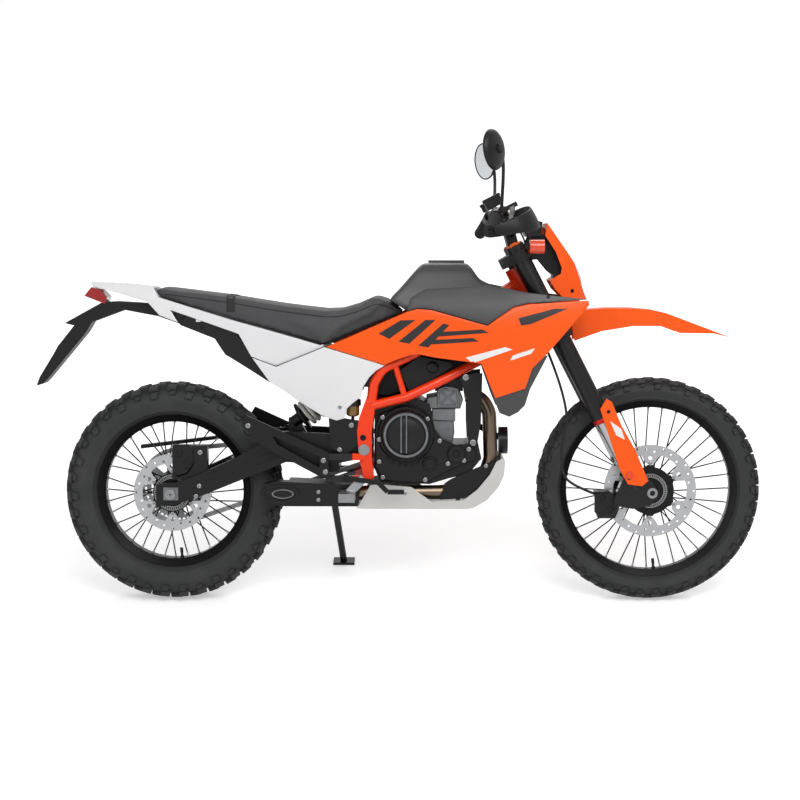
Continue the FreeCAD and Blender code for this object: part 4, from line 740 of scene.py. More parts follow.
def flatCells(outline, cell, rounds, even):
    # an outline filled with small triangles
    flat = bmesh.new()
    flat.faces.new([flat.verts.new((a, b, 0)) for a, b in outline])
    bmesh.ops.triangulate(flat, faces=flat.faces[:])
    for step in range(rounds):
        long = [edge for edge in flat.edges if edge.calc_length() > cell]
        if not long:
            break
        bmesh.ops.subdivide_edges(flat, edges=long, cuts=1)
        bmesh.ops.triangulate(flat, faces=flat.faces[:])
        if even:
            inside = [edge for edge in flat.edges if len(edge.link_faces) == 2]
            bmesh.ops.beautify_fill(flat, faces=flat.faces[:], edges=inside)
    flat.verts.index_update()
    return flat


def skinShape(flat, outer, inner):
    # closed skin between two functions that give a point for each flat vertex
    tops, lows = [outer(v.co.x, v.co.y) for v in flat.verts], [inner(v.co.x, v.co.y) for v in flat.verts]
    count = len(tops)
    faces = [[v.index for v in face.verts] for face in flat.faces]
    faces += [[v.index + count for v in reversed(face.verts)] for face in flat.faces]
    for edge in flat.edges:
        if len(edge.link_faces) == 1:
            loop = edge.link_loops[0]
            a, b = loop.vert.index, loop.link_loop_next.vert.index
            faces.append([b, a, a + count, b + count])
    return tops + lows, faces


def boxShape(low, high):
    corners = [(x, y, z) for x in (low[0], high[0]) for y in (low[1], high[1]) for z in (low[2], high[2])]
    faces = [(0, 1, 3, 2), (4, 6, 7, 5), (0, 4, 5, 1), (2, 3, 7, 6), (0, 2, 6, 4), (1, 5, 7, 3)]
    return [bike(*corner) for corner in corners], [list(face) for face in faces]


def softRim(piece, width):
    rim = piece.modifiers.new("rim", "BEVEL")
    rim.width = width / 1000
    rim.segments = 2
    rim.limit_method = "ANGLE"
    rim.angle_limit = radians(rimAngle)
    rim.use_clamp_overlap = False
    baked(piece).set_sharp_from_angle(angle=radians(rimAngle))


def addPanel(name):
    p = panelLook[name]
    flat = flatCells(fromShares(p["outline"]), panelCell, 8, True)
    for side, end in ((-1, "Right"), (1, "Left")):
        def outer(x, z):
            return bike(x, side * (halfWidth(p["surface"], x, z) - p["inset"]), z)

        def inner(x, z):
            return bike(x, side * (halfWidth(p["surface"], x, z) - p["inset"] - panelWall), z)

        points, faces = skinShape(flat, outer, inner)
        if side > 0:
            faces = [face[::-1] for face in faces]
        piece = addPiece(name + end, points, faces, p["look"], "chassis", rimAngle)
        softRim(piece, rimWidth)
        panels[name + end] = piece
        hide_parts(p["node"])
    flat.free()
    bosses = []
    for x, z, near in panelBosses[name]:
        far = halfWidth(p["surface"], x, z) - p["inset"] - panelWall + 0.6
        for side in (-1, 1):
            low, high = sorted((side * near, side * far))
            bosses.append(boxShape((x - bossHalf, low, z - bossHalf), (x + bossHalf, high, z + bossHalf)))
    addPiece(name + "Bosses", *merged(bosses), p["look"], "chassis")


for name in panelLook:
    addPanel(name)

# lid between the two halves of the tail
lidLook = {"xs": (-249, -200, -150, -100, -58), "tops": (987.5, 986.5, 984.5, 980, 974), "half": 2.2, "thick": 4,
           "crown": 2.5}


def addTailLid():
    l = lidLook
    rings = []
    for x, top in zip(l["xs"], l["tops"]):
        half = halfWidth("tail", x, top) - l["half"]
        rings.append([bike(x, half * cos(pi * i / 10), top + l["crown"] * sin(pi * i / 10) - 1) for i in range(11)]
                     + [bike(x, -half * cos(pi * i / 10), top - l["thick"] - 1) for i in range(11)])
    addPiece("tailLid", *closedRings(rings), "whitePolypropylene", "chassis", 50)


addTailLid()

# tank: blown polyethylene under a moulded cover, so its edges are round
tankLook = {"node": "fuel_tank", "look": "greyPolypropylene", "voxel": 6, "rounds": 10}


def addTank():
    t = tankLook
    tank = remeshed("tankTop", t["node"], t["voxel"], t["rounds"])
    mesh = baked(tank)
    mesh.materials.clear()
    mesh.materials.append(materials[t["look"]])
    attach(tank, "chassis")
    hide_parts(t["node"])


addTank()
print("body panels shaped")


# Engine: turned and cast covers with ribs and bosses, and the cylinder above them

engineLook = {
    "half": 90, "coverDeep": 18, "crank": (0.490, 0.591), "crankRadius": 73, "crankBase": 88, "faceRadius": 56,
    "deep": 52, "bevel": 5, "rib": 5, "fanRibs": 7, "fanSpread": 72, "barShares": (-0.20, 0.02), "barWide": 7,
    "leftHalf": 132, "leftRadius": 66, "leftScrews": 5, "barrelHalf": 52, "flangeHalf": 60, "headHalf": 66,
    "camHalf": 56,
    "cover": ((0.4333, 0.6581), (0.4629, 0.6797), (0.496, 0.6797), (0.5314, 0.6601), (0.5503, 0.6053), (0.5645, 0.5739),
              (0.592, 0.556), (0.622, 0.556), (0.6354, 0.5309), (0.633, 0.4995), (0.6094, 0.4878), (0.574, 0.4604),
              (0.5314, 0.423), (0.4842, 0.423), (0.4416, 0.432), (0.4259, 0.4799), (0.4254, 0.5739), (0.4261, 0.617)),
    "bosses": ((0.4417, 0.6497), (0.5342, 0.6442), (0.4340, 0.573), (0.5597, 0.5687), (0.4340, 0.4963),
               (0.4417, 0.4427), (0.5298, 0.4340), (0.577, 0.4900), (0.61, 0.5016), (0.620, 0.5400)),
    "filter": (0.5396, 0.4899), "pump": (0.5941, 0.5243),
    "leftCover": ((0.425, 0.620), (0.425, 0.480), (0.450, 0.450), (0.500, 0.460), (0.500, 0.640), (0.470, 0.660)),
    "barrel": ((0.531, 0.541), (0.5483, 0.6751), (0.5889, 0.6751), (0.5912, 0.5909), (0.585, 0.541)),
    "flange": ((0.5442, 0.6751), (0.5929, 0.6751), (0.5929, 0.6305), (0.5442, 0.6344)),
    "head": ((0.5315, 0.675), (0.5327, 0.7145), (0.5560, 0.7224), (0.5566, 0.7422), (0.572, 0.758), (0.5995, 0.7461),
             (0.609, 0.7066), (0.603, 0.675)),
    "headFace": ((0.5566, 0.685), (0.5570, 0.7400), (0.5720, 0.7500), (0.5960, 0.7420), (0.6000, 0.685)),
    "camCover": ((0.5500, 0.735), (0.553, 0.772), (0.606, 0.783), (0.609, 0.735)),
}


def slabShape(table, near, far, edge=1.5):
    # an outline of shares, standing between two distances from the middle plane
    y, thick = (near + far) / 2, abs(far - near)
    return sidePlate([fromShares(table)], thick, y, (0, 0), edge)


def ribShape(start, end, y, wide, deep):
    # a raised line on a cover, from start to end in (x, z) millimetres, proud of y
    run = Vector((end[0] - start[0], end[1] - start[1], 0))
    half = Vector((-run.y, run.x, 0)).normalized() * wide / 2
    loops = []
    for shrink, lift in ((1, -1), (1, deep * 0.6), (0.55, deep)):
        loops.append([bike(a + half.x * s * shrink, y - lift, b + half.y * s * shrink)
                      for (a, b), s in ((start, 1), (start, -1), (end, -1), (end, 1))])
    return closedRings(loops)


def facedRib(start, end, side, y, wide, deep):
    # the same on the right side, or mirrored to the left
    points, faces = ribShape(start, end, -y, wide, deep)
    if side < 0:
        return points, faces
    return [p - leftward * 2 * (p - groundPoint).dot(leftward) for p in points], [face[::-1] for face in faces]


def addEngine():
    e = engineLook
    x0, z0 = fromShares([e["crank"]])[0]
    rim, face = -e["half"] - e["coverDeep"], -e["half"] - e["deep"]
    crank = bike(x0, 0, z0)
    r, b = e["crankRadius"], e["bevel"]
    drum = [(0, e["half"] - 2), (e["crankBase"], e["half"] - 2), (e["crankBase"], -rim), (e["crankBase"] - b, -rim + b),
            (r + 4, -rim + b), (r, -rim + b + 4), (r, -face - b), (r - b * 0.4, -face - b * 0.4), (r - b, -face),
            (e["faceRadius"] + b, -face), (e["faceRadius"] + 1, -face - b), (e["faceRadius"] - 6, -face - b - 1),
            (e["faceRadius"] - 8, -face - b), (0, -face - b)]
    shapes = [slabShape(e["cover"], e["half"] - 4, rim, 3), turnedShape(crank, -leftward, drum, 96)]
    # the two raised bars are real ribs; drawing them in bright metal is partly painted highlight
    bars = []
    for share in e["barShares"]:
        x = x0 + r * share
        bars.append(ribShape((x, z0 - e["faceRadius"] + 2), (x, z0 + e["faceRadius"] + 8), face + b, e["barWide"],
                             b + 1.5))
    addPiece("clutchBars", *merged(bars), "polishedAluminium", "chassis", 40)
    # bright ring round the clutch face: partly painted highlight on its bevel
    ring = [(e["faceRadius"] + 2, -face - b - 0.5), (e["faceRadius"] + b, -face + 0.3), (r - b - 0.5, -face + 0.3),
            (r - b - 0.5, -face - 1)]
    addPiece("clutchRim", *turnedBand(crank, -leftward, ring, 96), "polishedAluminium", "chassis", 40)
    for i in range(e["fanRibs"]):
        angle = radians(-90 + e["fanSpread"] * (i / (e["fanRibs"] - 1) - 0.5))
        ends = [(x0 + reach * cos(angle), z0 + reach * sin(angle)) for reach in (r - 2, e["crankBase"] + 9)]
        shapes.append(ribShape(*ends, rim - b + 1, e["rib"], 6))
    base, top = e["half"], -rim
    rounds = [(place, ((9, base), (9, top + 3.5), (8, top + 4.5), (0, top + 4.5)), 24) for place in e["bosses"]]
    lid = ((24, base), (24, top + 2), (21, top + 5), (17, top + 5), (15, top + 8), (0, top + 8))
    pump = ((28, base), (28, top + 6), (24, top + 10), (12, top + 11), (9, top + 8), (0, top + 8))
    rounds += [(e["filter"], lid, 48), (e["pump"], pump, 48)]
    for place, profile, steps in rounds:
        x, z = fromShares([place])[0]
        shapes.append(turnedShape(bike(x, 0, z), -leftward, ((0, base),) + profile, steps))
    cover = addPiece("clutchCover", *merged(shapes), "blackPowderCoat", "chassis", 40)
    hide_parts("engine_covers")
    panels["clutchCover"] = cover
    top, r = e["leftHalf"], e["leftRadius"]
    drum = [(0, base), (r, base), (r, top - 9), (r - 3, top - 3), (r - 9, top), (44, top), (42, top - 3), (20, top - 3),
            (18, top + 2), (0, top + 2)]
    screw = [(0, base), (8, base), (8, top - 22), (6, top - 20), (0, top - 20)]
    left = [turnedShape(crank, leftward, drum, 72), slabShape(e["leftCover"], base - 1, base + 8, 2)]
    for i in range(e["leftScrews"]):
        x, z = polar(r + 5, radians(20) + 2 * pi * i / e["leftScrews"])
        left.append(turnedShape(bike(x0 + x, 0, z0 + z), leftward, screw, 20))
    addPiece("ignitionCover", *merged(left), "blackPowderCoat", "chassis", 40)
    upper = [slabShape(e["barrel"], -e["barrelHalf"], e["barrelHalf"], 3),
             slabShape(e["flange"], -e["flangeHalf"], e["flangeHalf"], 2),
             slabShape(e["head"], -e["headHalf"], e["headHalf"], 3)]
    for side in (-1, 1):
        corners = fromShares(e["headFace"])
        for start, end in zip(corners, corners[1:] + corners[:1]):
            upper.append(facedRib(start, end, side, e["headHalf"], 7, 5))
        for start, end in ((0, 3), (1, 4), (1, 3)):
            upper.append(facedRib(corners[start], corners[end], side, e["headHalf"], 6, 4))
    head = addPiece("cylinderHead", *merged(upper), "castAluminium", "chassis", 40)
    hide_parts("cylinder_head")
    addPiece("camCover", *slabShape(e["camCover"], -e["camHalf"], e["camHalf"], 4), "blackPowderCoat", "chassis", 40)


addEngine()
print("engine covers cast")


# Shock absorber: a wound spring round a dark damper body

shockLook = {"foot": (0.252, 0.622), "head": (0.385, 0.780), "springRadius": 37, "wire": 6.2, "turns": 6.5,
             "span": (0.17, 0.70), "seat": 45, "body": 24, "eye": 19}


def addShock():
    s = shockLook
    low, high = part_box("rear_shock")
    middle = (Vector(low) + Vector(high)) / 2
    y = (middle - groundPoint).dot(leftward) * 1000
    (x0, z0), (x1, z1) = fromShares([s["foot"], s["head"]])
    foot, head = bike(x0, y, z0), bike(x1, y, z1)
    heading = (head - foot).normalized()
    length = (head - foot).length * 1000
    start, end = length * s["span"][0], length * s["span"][1]
    rim, tube = s["seat"], s["body"]
    profile = [(0, 0), (s["eye"], 0), (s["eye"], start - 16), (rim - 8, start - 10), (rim, start - 8), (rim, start - 2),
               (rim - 3, start), (tube, start), (tube, end), (rim - 3, end), (rim, end + 2), (rim, end + 8),
               (tube + 4, end + 12), (tube, end + 14), (tube, length - 2), (0, length)]
    addPiece("shockBody", *turnedShape(foot, heading, profile, 40), "blackAnodisedAluminium", "chassis")
    side, other = across(heading)
    steps, sides = 26, 10
    rings = []
    rise = end - start - 2 * s["wire"] - 1
    total = int(s["turns"] * steps)
    for step in range(total + 1):
        angle = 2 * pi * step / steps
        # the two end turns lie closer, as ground spring ends do
        share = step / total
        height = start + s["wire"] + 0.5 + rise * (share - 0.045 * sin(2 * pi * share))
        out = side * cos(angle) + other * sin(angle)
        centre = foot + (heading * height + out * s["springRadius"]) / 1000
        rings.append([centre + (out * cos(2 * pi * k / sides) + heading * sin(2 * pi * k / sides)) * s["wire"] / 1000
                      for k in range(sides)])
    spring = addPiece("shockSpring", *closedRings(rings), "whiteSpringPaint", "chassis", 60)
    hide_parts("rear_shock")


addShock()
print("shock wound")


# What shows through the frame and beside it: airbox, fluid pot, exhaust mouth, axle block, caliper faces

airLook = {"box": ((0.408, 0.715), (0.412, 0.800), (0.440, 0.850), (0.500, 0.885), (0.600, 0.872), (0.640, 0.835),
                   (0.612, 0.792), (0.560, 0.765), (0.500, 0.735), (0.450, 0.712)),
           "half": 44, "knob": (0.5450, 0.8213), "knobY": -99,
           "knobProfile": ((0, 0), (18, 0), (18, 3), (15, 7), (7, 8.5), (0, 8.5))}
potLook = {"place": (0.3797, 0.655), "y": -104, "hoseRadius": 5,
           "profile": ((0, -2), (12, -2), (19, 2), (20, 6), (20, 32), (0, 32)),
           "cap": ((0, 31), (24, 31), (25, 33), (25, 48), (23, 51), (18, 51), (17, 52), (0, 52))}


def addAirbox():
    a = airLook
    addPiece("airbox", *slabShape(a["box"], -a["half"], a["half"], 8), "blackNylon", "chassis", 40)
    x, z = fromShares([a["knob"]])[0]
    knob = turnedShape(bike(x, a["knobY"], z), -leftward, a["knobProfile"], 40)
    addPiece("airboxKnob", *knob, "blackNylon", "chassis", 50)


def addPot():
    p = potLook
    x, z = fromShares([p["place"]])[0]
    spot = bike(x, p["y"], z)
    addPiece("fluidPot", *turnedShape(spot, upward, p["profile"], 36), "smokedPolyamide", "chassis")
    addPiece("fluidPotCap", *turnedShape(spot, upward, p["cap"], 36), "blackNylon", "chassis")
    run = [spot, spot - upward * 0.02, bike(x - 8, p["y"] - 4, z - 45), bike(x - 12, p["y"] - 8, z - 70)]
    addTube("fluidPotHose", run, p["hoseRadius"], "gripRubber", "chassis")


addAirbox()
addPot()


def ovalRing(centre, y, outer, inner, deep):
    # a ring standing on the right side, its half axes in millimetres
    loops = [[(centre[0] + a * cos(2 * pi * i / 48), centre[1] + b * sin(2 * pi * i / 48)) for i in range(48)]
             for a, b in (outer, inner)]
    return sidePlate([loops[0], loops[1][::-1]], deep, y, (0, 0), 1.5)


mouthLook = {"centre": (338, 345), "outer": (60, 29), "inner": (48, 20), "pipe": (34, 15), "pipeBore": (29, 11),
             "y": -129}


def addMouth():
    m = mouthLook
    x, z = m["centre"]
    addPiece("exhaustMouth", *ovalRing((x, z), m["y"], m["outer"], m["inner"], 7), "blackPowderCoat", "chassis", 40)
    pipe = ovalRing((x + 8, z - 1), m["y"] + 1, m["pipe"], m["pipeBore"], 6)
    addPiece("exhaustPipeEnd", *pipe, "zincPlatedSteel", "chassis", 40)


addMouth()


def boxedSlab(loop, near, far, edge):
    return sidePlate([loop], abs(far - near), (near + far) / 2, (0, 0), edge)


def faceOf(node, x, z):
    # how far out a node's right face is at a place
    spot, normal = caughtOn(frame["nodes"][node], views["right"][0](x, z), leftward)
    return None if spot is None else (spot - groundPoint).dot(leftward) * 1000


armLook = {
    "axleBlock": {"outline": ((-22, 322), (24, 322), (24, 362), (-22, 362)), "spot": (0, 352), "proud": 5,
                  "edge": 1.5, "look": "polishedAluminium"},
    "swingarmPanel": {"outline": ((118, 383), (330, 452), (352, 470), (338, 478), (306, 470), (112, 404)),
                      "spot": (220, 425), "proud": 1.2, "edge": 0.8, "look": "blackNylon"},
}
caliperLook = {
    "rear": {"outer": ((8, 492), (60, 492), (72, 480), (72, 430), (52, 402), (20, 392), (6, 404)), "far": -98,
             "near": -84, "body": "chassis", "pins": ((24, 470), (52, 432))},
    "front": {"outer": ((1302, 346), (1350, 350), (1372, 336), (1376, 292), (1356, 268), (1316, 266), (1302, 286)),
              "far": -94, "near": -80, "body": "steering", "pins": ((1322, 330), (1348, 288))},
}
pinProfile = ((0, 0), (14, 0), (14, 3), (12, 5), (6, 5), (5, 3), (0, 3))


def addArmTrim(name):
    # a flat piece on the right face of the swingarm
    a = armLook[name]
    face = faceOf("swingarm", *a["spot"])
    addPiece(name, *boxedSlab(a["outline"], face + 2, face - a["proud"], a["edge"]), a["look"], "chassis", 40)


def addCaliperFace(which):
    c = caliperLook[which]
    shapes = [boxedSlab(c["outer"], c["near"], c["far"] - 4, 5)]
    for x, z in c["pins"]:
        shapes.append(turnedShape(bike(x, c["far"] - 2, z), -leftward, pinProfile, 28))
    addPiece(which + "CaliperFace", *merged(shapes), "blackPowderCoat", c["body"], 40)


addArmTrim("axleBlock")
addCaliperFace("rear")
addCaliperFace("front")
addArmTrim("swingarmPanel")
print("chassis dressed")


# Cockpit: mirrors, hand guards, lever perches

mirrorLook = {"centre": (974, 338, 1376), "radius": 60, "deep": 22, "yaw": 30, "pitch": 6,
              "stalk": ((1003, 262, 1190), (1005, 264, 1235), (1008, 280, 1300), (1006, 312, 1352), (995, 334, 1374)),
              "stalkRadius": 5.2}


def addMirror(side, name):
    m = mirrorLook
    yaw, pitch = radians(m["yaw"]), radians(m["pitch"])
    facing = (forward * -cos(yaw) - leftward * side * sin(yaw) - upward * sin(pitch)).normalized()
    x, y, z = m["centre"]
    spot = bike(x, side * y, z)
    r, deep = m["radius"], m["deep"]
    shell = [(0, -deep), (r * 0.32, -deep + 0.6), (r * 0.62, -deep + 3.4), (r * 0.84, -deep + 8),
             (r * 0.96, -deep + 14), (r, -3), (r, -0.8), (r - 1, 0.6), (r - 3, 0.6), (r - 4.2, -0.6), (r - 4.2, -2),
             (0, -2)]
    knuckle = turnedShape(spot - facing * 0.016, -facing, [(0, 0), (13, 0), (13, 10), (11, 14), (0, 15)], 24)
    piece = addPiece("mirrorShell" + name, *merged([turnedShape(spot, facing, shell, 56), knuckle]), "blackNylon",
                     "steering", 50)
    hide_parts("mirrors")
    rim = r - 4.6
    glass = [(0, -2.4), (rim, -2.4)] + [(rim * (1 - i / 6), -1.2 + 1.1 * (1 - (1 - i / 6) ** 2)) for i in range(7)]
    addPiece("mirrorGlass" + name, *turnedShape(spot, facing, glass, 48), "silveredGlass", "steering")
    points = [bike(px, side * py, pz) for px, py, pz in m["stalk"]]
    points.append(spot - facing * 0.026)
    addTube("mirrorStalk" + name, points, m["stalkRadius"], "blackPowderCoat", "steering")
    boot = turnedShape(points[0], points[1] - points[0], [(0, -16), (8, -16), (8, 18), (7, 22), (0, 22)], 24)
    addPiece("mirrorBoot" + name, *boot, "gripRubber", "steering")


addMirror(-1, "Right")
addMirror(1, "Left")

# the guard's run round the hand: ahead, across as a share of the bar's half width, up, and its half height
guardLook = {"half": 408, "top": 868, "run": ((52, 0.42, 40, 20), (78, 0.52, 34, 25), (104, 0.66, 26, 31),
                                              (112, 0.80, 16, 33), (100, 0.93, 10, 31), (62, 1.035, 14, 26),
                                              (14, 1.06, 24, 20), (-24, 1.045, 32, 15)),
             "thick": 4.5}


def addHandGuard(side, name):
    g = guardLook
    centres = [(u, side * g["half"] * y, g["top"] + s, tall) for u, y, s, tall in g["run"]]
    rings, t = [], g["thick"]
    for i, (u, y, s, tall) in enumerate(centres):
        before, after = centres[max(i - 1, 0)], centres[min(i + 1, len(centres) - 1)]
        run = Vector((after[0] - before[0], after[1] - before[1], 0)).normalized()
        out = Vector((run.y * side, -run.x * side, 0))
        loop = []
        for lift, height in ((0, -1), (1.6, -0.55), (2.4, 0), (1.6, 0.55), (0, 1), (-t, 1), (2 - t, 0.5), (2.6 - t, 0),
                             (2 - t, -0.5), (-t, -1)):
            place = Vector((u, y, s + height * tall)) + out * lift
            loop.append(steered(place.x, place.y, place.z))
        rings.append(loop if side > 0 else loop[::-1])
    piece = addPiece("handGuard" + name, *closedRings(rings), "blackNylon", "steering", 50)
    fine = piece.modifiers.new("fine", "SUBSURF")
    fine.levels = fine.render_levels = 2
    baked(piece)
    for end, (u, y, s) in (("Clamp", (10, 0.40, 76)), ("End", (-32, 1.0, 40))):
        root = steered(u, side * g["half"] * y, g["top"] + s)
        tip = rings[0][2] if end == "Clamp" else rings[-1][2]
        addTube("guard" + end + name, [root, (root + tip) / 2, tip], 6, "blackAnodisedAluminium", "steering")


addHandGuard(-1, "Right")
addHandGuard(1, "Left")


def addBarPot(name, place, size):
    low = steered(*place)
    high = steered(place[0], place[1], place[2] + size[2])
    axis = (high - low).normalized()
    side, other = across(axis)
    corners = ((-1, -0.7), (-0.7, -1), (0.7, -1), (1, -0.7), (1, 0.7), (0.7, 1), (-0.7, 1), (-1, 0.7))
    rings = []
    for share, grow in ((0, 0.9), (0.04, 1), (0.72, 1), (0.73, 1.09), (0.96, 1.09), (1, 1.0)):
        rings.append([low + axis * size[2] * share / 1000 + (side * a * size[0] + other * b * size[1]) * grow / 2000
                      for a, b in corners])
    addPiece(name, *closedRings(rings), "blackNylon", "steering", 40)


addBarPot("brakePot", (24, -196, 962), (46, 52, 34))
addBarPot("clutchPot", (24, 196, 962), (40, 46, 28))
print("cockpit fitted")


# Printed film on the panels. Outlines are in millimetres, seen from the right or the left.

def filmOn(name, target, outlines, view, look, body):
    # closed thin skin over a piece, cut to outlines in the view's own two directions
    place, heading = views[view]
    thick, sunk = filmLook["thick"] / 1000, filmLook["sunk"] / 1000
    shapes = []
    for outline in outlines:
        flat = flatCells(outline, filmLook["cell"], 7, False)
        lost = [v for v in flat.verts if caughtOn(target, place(v.co.x, v.co.y), heading)[0] is None]
        bmesh.ops.delete(flat, geom=lost, context="VERTS")
        bmesh.ops.delete(flat, geom=[v for v in flat.verts if not v.link_faces], context="VERTS")
        if flat.faces:
            flat.verts.index_update()
            shapes.append(skinShape(flat, lambda a, b: caughtOn(target, place(a, b), heading)[0] - heading * thick,
                                    lambda a, b: caughtOn(target, place(a, b), heading)[0] + heading * sunk))
        flat.free()
    return addPiece(name, *merged(shapes), look, body, 50)


filmLook = {
    "thick": 0.5, "sunk": 0.4, "cell": 9,
    "black": (((640, 836), (706, 876), (752, 878), (672, 820)), ((700, 812), (782, 878), (812, 878), (733, 806)),
              ((760, 800), (836, 868), (853, 862), (790, 795)), ((831, 842), (952, 850), (972, 840), (822, 828)),
              ((810, 818), (924, 824), (942, 814), (800, 804)),
              ((1060, 884), (1168, 912), (1208, 912), (1096, 866), (1068, 862))),
    "white": (((903, 765), (1021, 797), (1043, 790), (924, 748)), ((1044, 772), (1110, 794), (1100, 778), (1036, 756))),
    "guard": (((1343, 570), (1377, 546), (1389, 512), (1362, 526)),),
}

for view in ("right", "left"):
    end = view.capitalize()
    shroud = panels["sideShroud" + end]
    filmOn("blackFilm" + end, shroud, filmLook["black"], view, "blackVinylFilm", "chassis")
    filmOn("whiteFilm" + end, shroud, filmLook["white"], view, "whiteVinylFilm", "chassis")
    filmOn("guardFilm" + end, frame["nodes"]["fork_guards"], filmLook["guard"], view, "whiteVinylFilm", "steering")
print("film laid")


# Fasteners, set where a ray from the side meets each group's own node

rightSide, bothSides = ("right",), ("right", "left")
boltLook = {
    "cover": {"node": "clutchCover", "body": "chassis", "size": 4.6, "look": "zincPlatedSteel", "views": rightSide,
        "places": [(651.5, 578.2), (787.9, 573.3), (640.2, 510), (825.6, 506.1), (640.2, 441.7), (651.5, 394),
                   (781.5, 386.3), (851.1, 436.1), (899.8, 446.4), (914.5, 480.6)]},
    "hanger": {"node": "engine_hanger", "body": "chassis", "size": 6.5, "look": "zincPlatedSteel", "views": bothSides,
        "places": [(927.5, 499.3), (905, 700), (955, 640)]},
    "spar": {"node": "main_frame", "body": "chassis", "size": 6.5, "look": "blackOxideSteel", "views": bothSides,
        "places": [(594, 484), (592, 518)]},
    "tankCover": {"node": "tankCover", "body": "chassis", "size": 4.2, "look": "blackOxideSteel", "views": bothSides,
        "places": [(951.8, 980.5), (1150, 948)]},
    "mask": {"node": "headlight_mask", "body": "steering", "size": 4.2, "look": "blackOxideSteel", "views": bothSides,
        "places": [(1229, 963.4)]},
    "panel": {"node": "sidePanel", "body": "chassis", "size": 4.4, "look": "zincPlatedSteel", "views": bothSides,
        "places": [(522, 612)]},
    "bracket": {"node": "passenger_brackets", "body": "chassis", "size": 5.2, "look": "zincPlatedSteel",
        "views": bothSides, "places": [(478, 415), (472, 450), (243, 556)]},
    "subframe": {"node": "subframe", "body": "chassis", "size": 5, "look": "blackOxideSteel", "views": bothSides,
        "places": [(98, 852), (39, 880)]},
    "guard": {"node": "fork_guards", "body": "steering", "size": 3.8, "look": "blackOxideSteel", "views": bothSides,
        "places": [(1402, 395), (1338, 598)]},
    "frontCaliper": {"node": "front_caliper", "body": "steering", "size": 5, "look": "zincPlatedSteel",
        "views": rightSide, "places": [(1352, 300), (1352, 345), (1318, 283)]},
    "rearCaliper": {"node": "rear_brake", "body": "chassis", "size": 5, "look": "zincPlatedSteel", "views": rightSide,
        "places": [(48, 460), (90, 468), (520, 480), (556, 555)]},
    "swingarm": {"node": "swingarm", "body": "chassis", "size": 4.6, "look": "zincPlatedSteel", "views": bothSides,
        "places": [(88, 366), (78, 334)]},
    "skid": {"node": "skid_plate", "body": "chassis", "size": 4.6, "look": "zincPlatedSteel", "views": bothSides,
        "places": [(720, 345), (880, 345)]},
    "shield": {"node": "heat_shield", "body": "chassis", "size": 4.2, "look": "zincPlatedSteel", "views": rightSide,
        "places": [(905, 420), (968, 428)]},
    "muffler": {"node": "muffler", "body": "chassis", "size": 4, "look": "zincPlatedSteel", "views": rightSide,
        "places": [(455, 350), (455, 326)]},
}


def addBolts(name):
    group = boltLook[name]
    shapes = []
    for view in group["views"]:
        place, heading = views[view]
        for a, b in group["places"]:
            node = group["node"]
            target = panels.get(node + view.capitalize()) or panels.get(node) or frame["nodes"][node]
            spot, normal = caughtOn(target, place(a, b), heading)
            if spot is not None:
                facing = normal if normal.dot(heading) < -0.8 else -heading
                shapes.append(boltShape(spot, facing, group["size"]))
    addPiece(name + "Bolts", *merged(shapes), group["look"], group["body"])
    print(name, "bolts", len(shapes))


for name in boltLook:
    addBolts(name)


# Lamp glass and reflector

glassLook = {"low": (1261, 972), "high": (1221, 1060), "half": 47, "bulge": 15}


def addLens():
    g = glassLook
    (x0, z0), (x1, z1) = g["low"], g["high"]
    rise = Vector((x1 - x0, 0, z1 - z0))
    tall = rise.length / 2
    rise.normalize()
    out = Vector((rise.z, 0, -rise.x))
    middle = Vector(((x0 + x1) / 2, 0, (z0 + z1) / 2))
    rings = []
    for share in (1.0, 0.985, 0.95, 0.86, 0.7, 0.5, 0.28, 0.05):
        lift = -2 if share == 1.0 else g["bulge"] * (1 - share ** 3)
        ring = []
        for i in range(40):
            angle = 2 * pi * i / 40
            a, b = cos(angle), sin(angle)
            round4 = (abs(a) ** 4 + abs(b) ** 4) ** -0.25
            place = middle + rise * (tall * b * round4 * share) + out * lift
            place.y = g["half"] * a * round4 * share
            ring.append(bike(place.x, place.y, place.z))
        rings.append(ring)
    # the lens is clear; its opaque pale colour is painted reflection
    addPiece("headlightLens", *closedRings(rings), "clearPolycarbonate", "steering", 60)


addLens()


def addReflector(name, node, a, b, radius):
    place, heading = views["right"]
    spot, normal = caughtOn(frame["nodes"][node], place(a, b), heading)
    profile = [(0, -3), (radius * 0.9, -3), (radius, -1), (radius, 3), (radius - 1.5, 4.6), (radius - 3, 4.6),
               (radius - 3.6, 3.9), (0, 4.2)]
    addPiece(name, *turnedShape(spot, -heading, profile, 48), "amberAcrylic", "steering")


addReflector("forkReflectorRight", "fork_guards", 1404, 404, 12)


# Small turned parts: fork seals and caps, spoke nipples, valve stems, the rear axle nut

forkLook = {"offset": 27.5, "spacing": 97, "sealFrom": 229, "sealTo": 241, "sealRadius": 29.4, "capTop": 832}


def addForkTrim():
    f = forkLook
    seals, caps = [], []
    for side in (-1, 1):
        height = f["sealTo"] - f["sealFrom"]
        seals.append(turnedShape(steered(f["offset"], side * f["spacing"], f["sealFrom"]), steeringAxis,
                                 [(22, 0), (f["sealRadius"] - 2, 0), (f["sealRadius"], 2), (f["sealRadius"], height),
                                  (28.2, height + 2), (28.2, height)]))
        caps.append(turnedShape(steered(f["offset"], side * f["spacing"], f["capTop"]), steeringAxis,
                                [(25, -1), (25, 3), (23, 5), (12, 5), (11, 8), (5, 8), (4.5, 5), (0, 5)]))
    addPiece("forkSeals", *merged(seals), "redAnodisedAluminium", "steering")
    addPiece("forkCaps", *merged(caps), "orangeAnodisedAluminium", "steering")


addForkTrim()

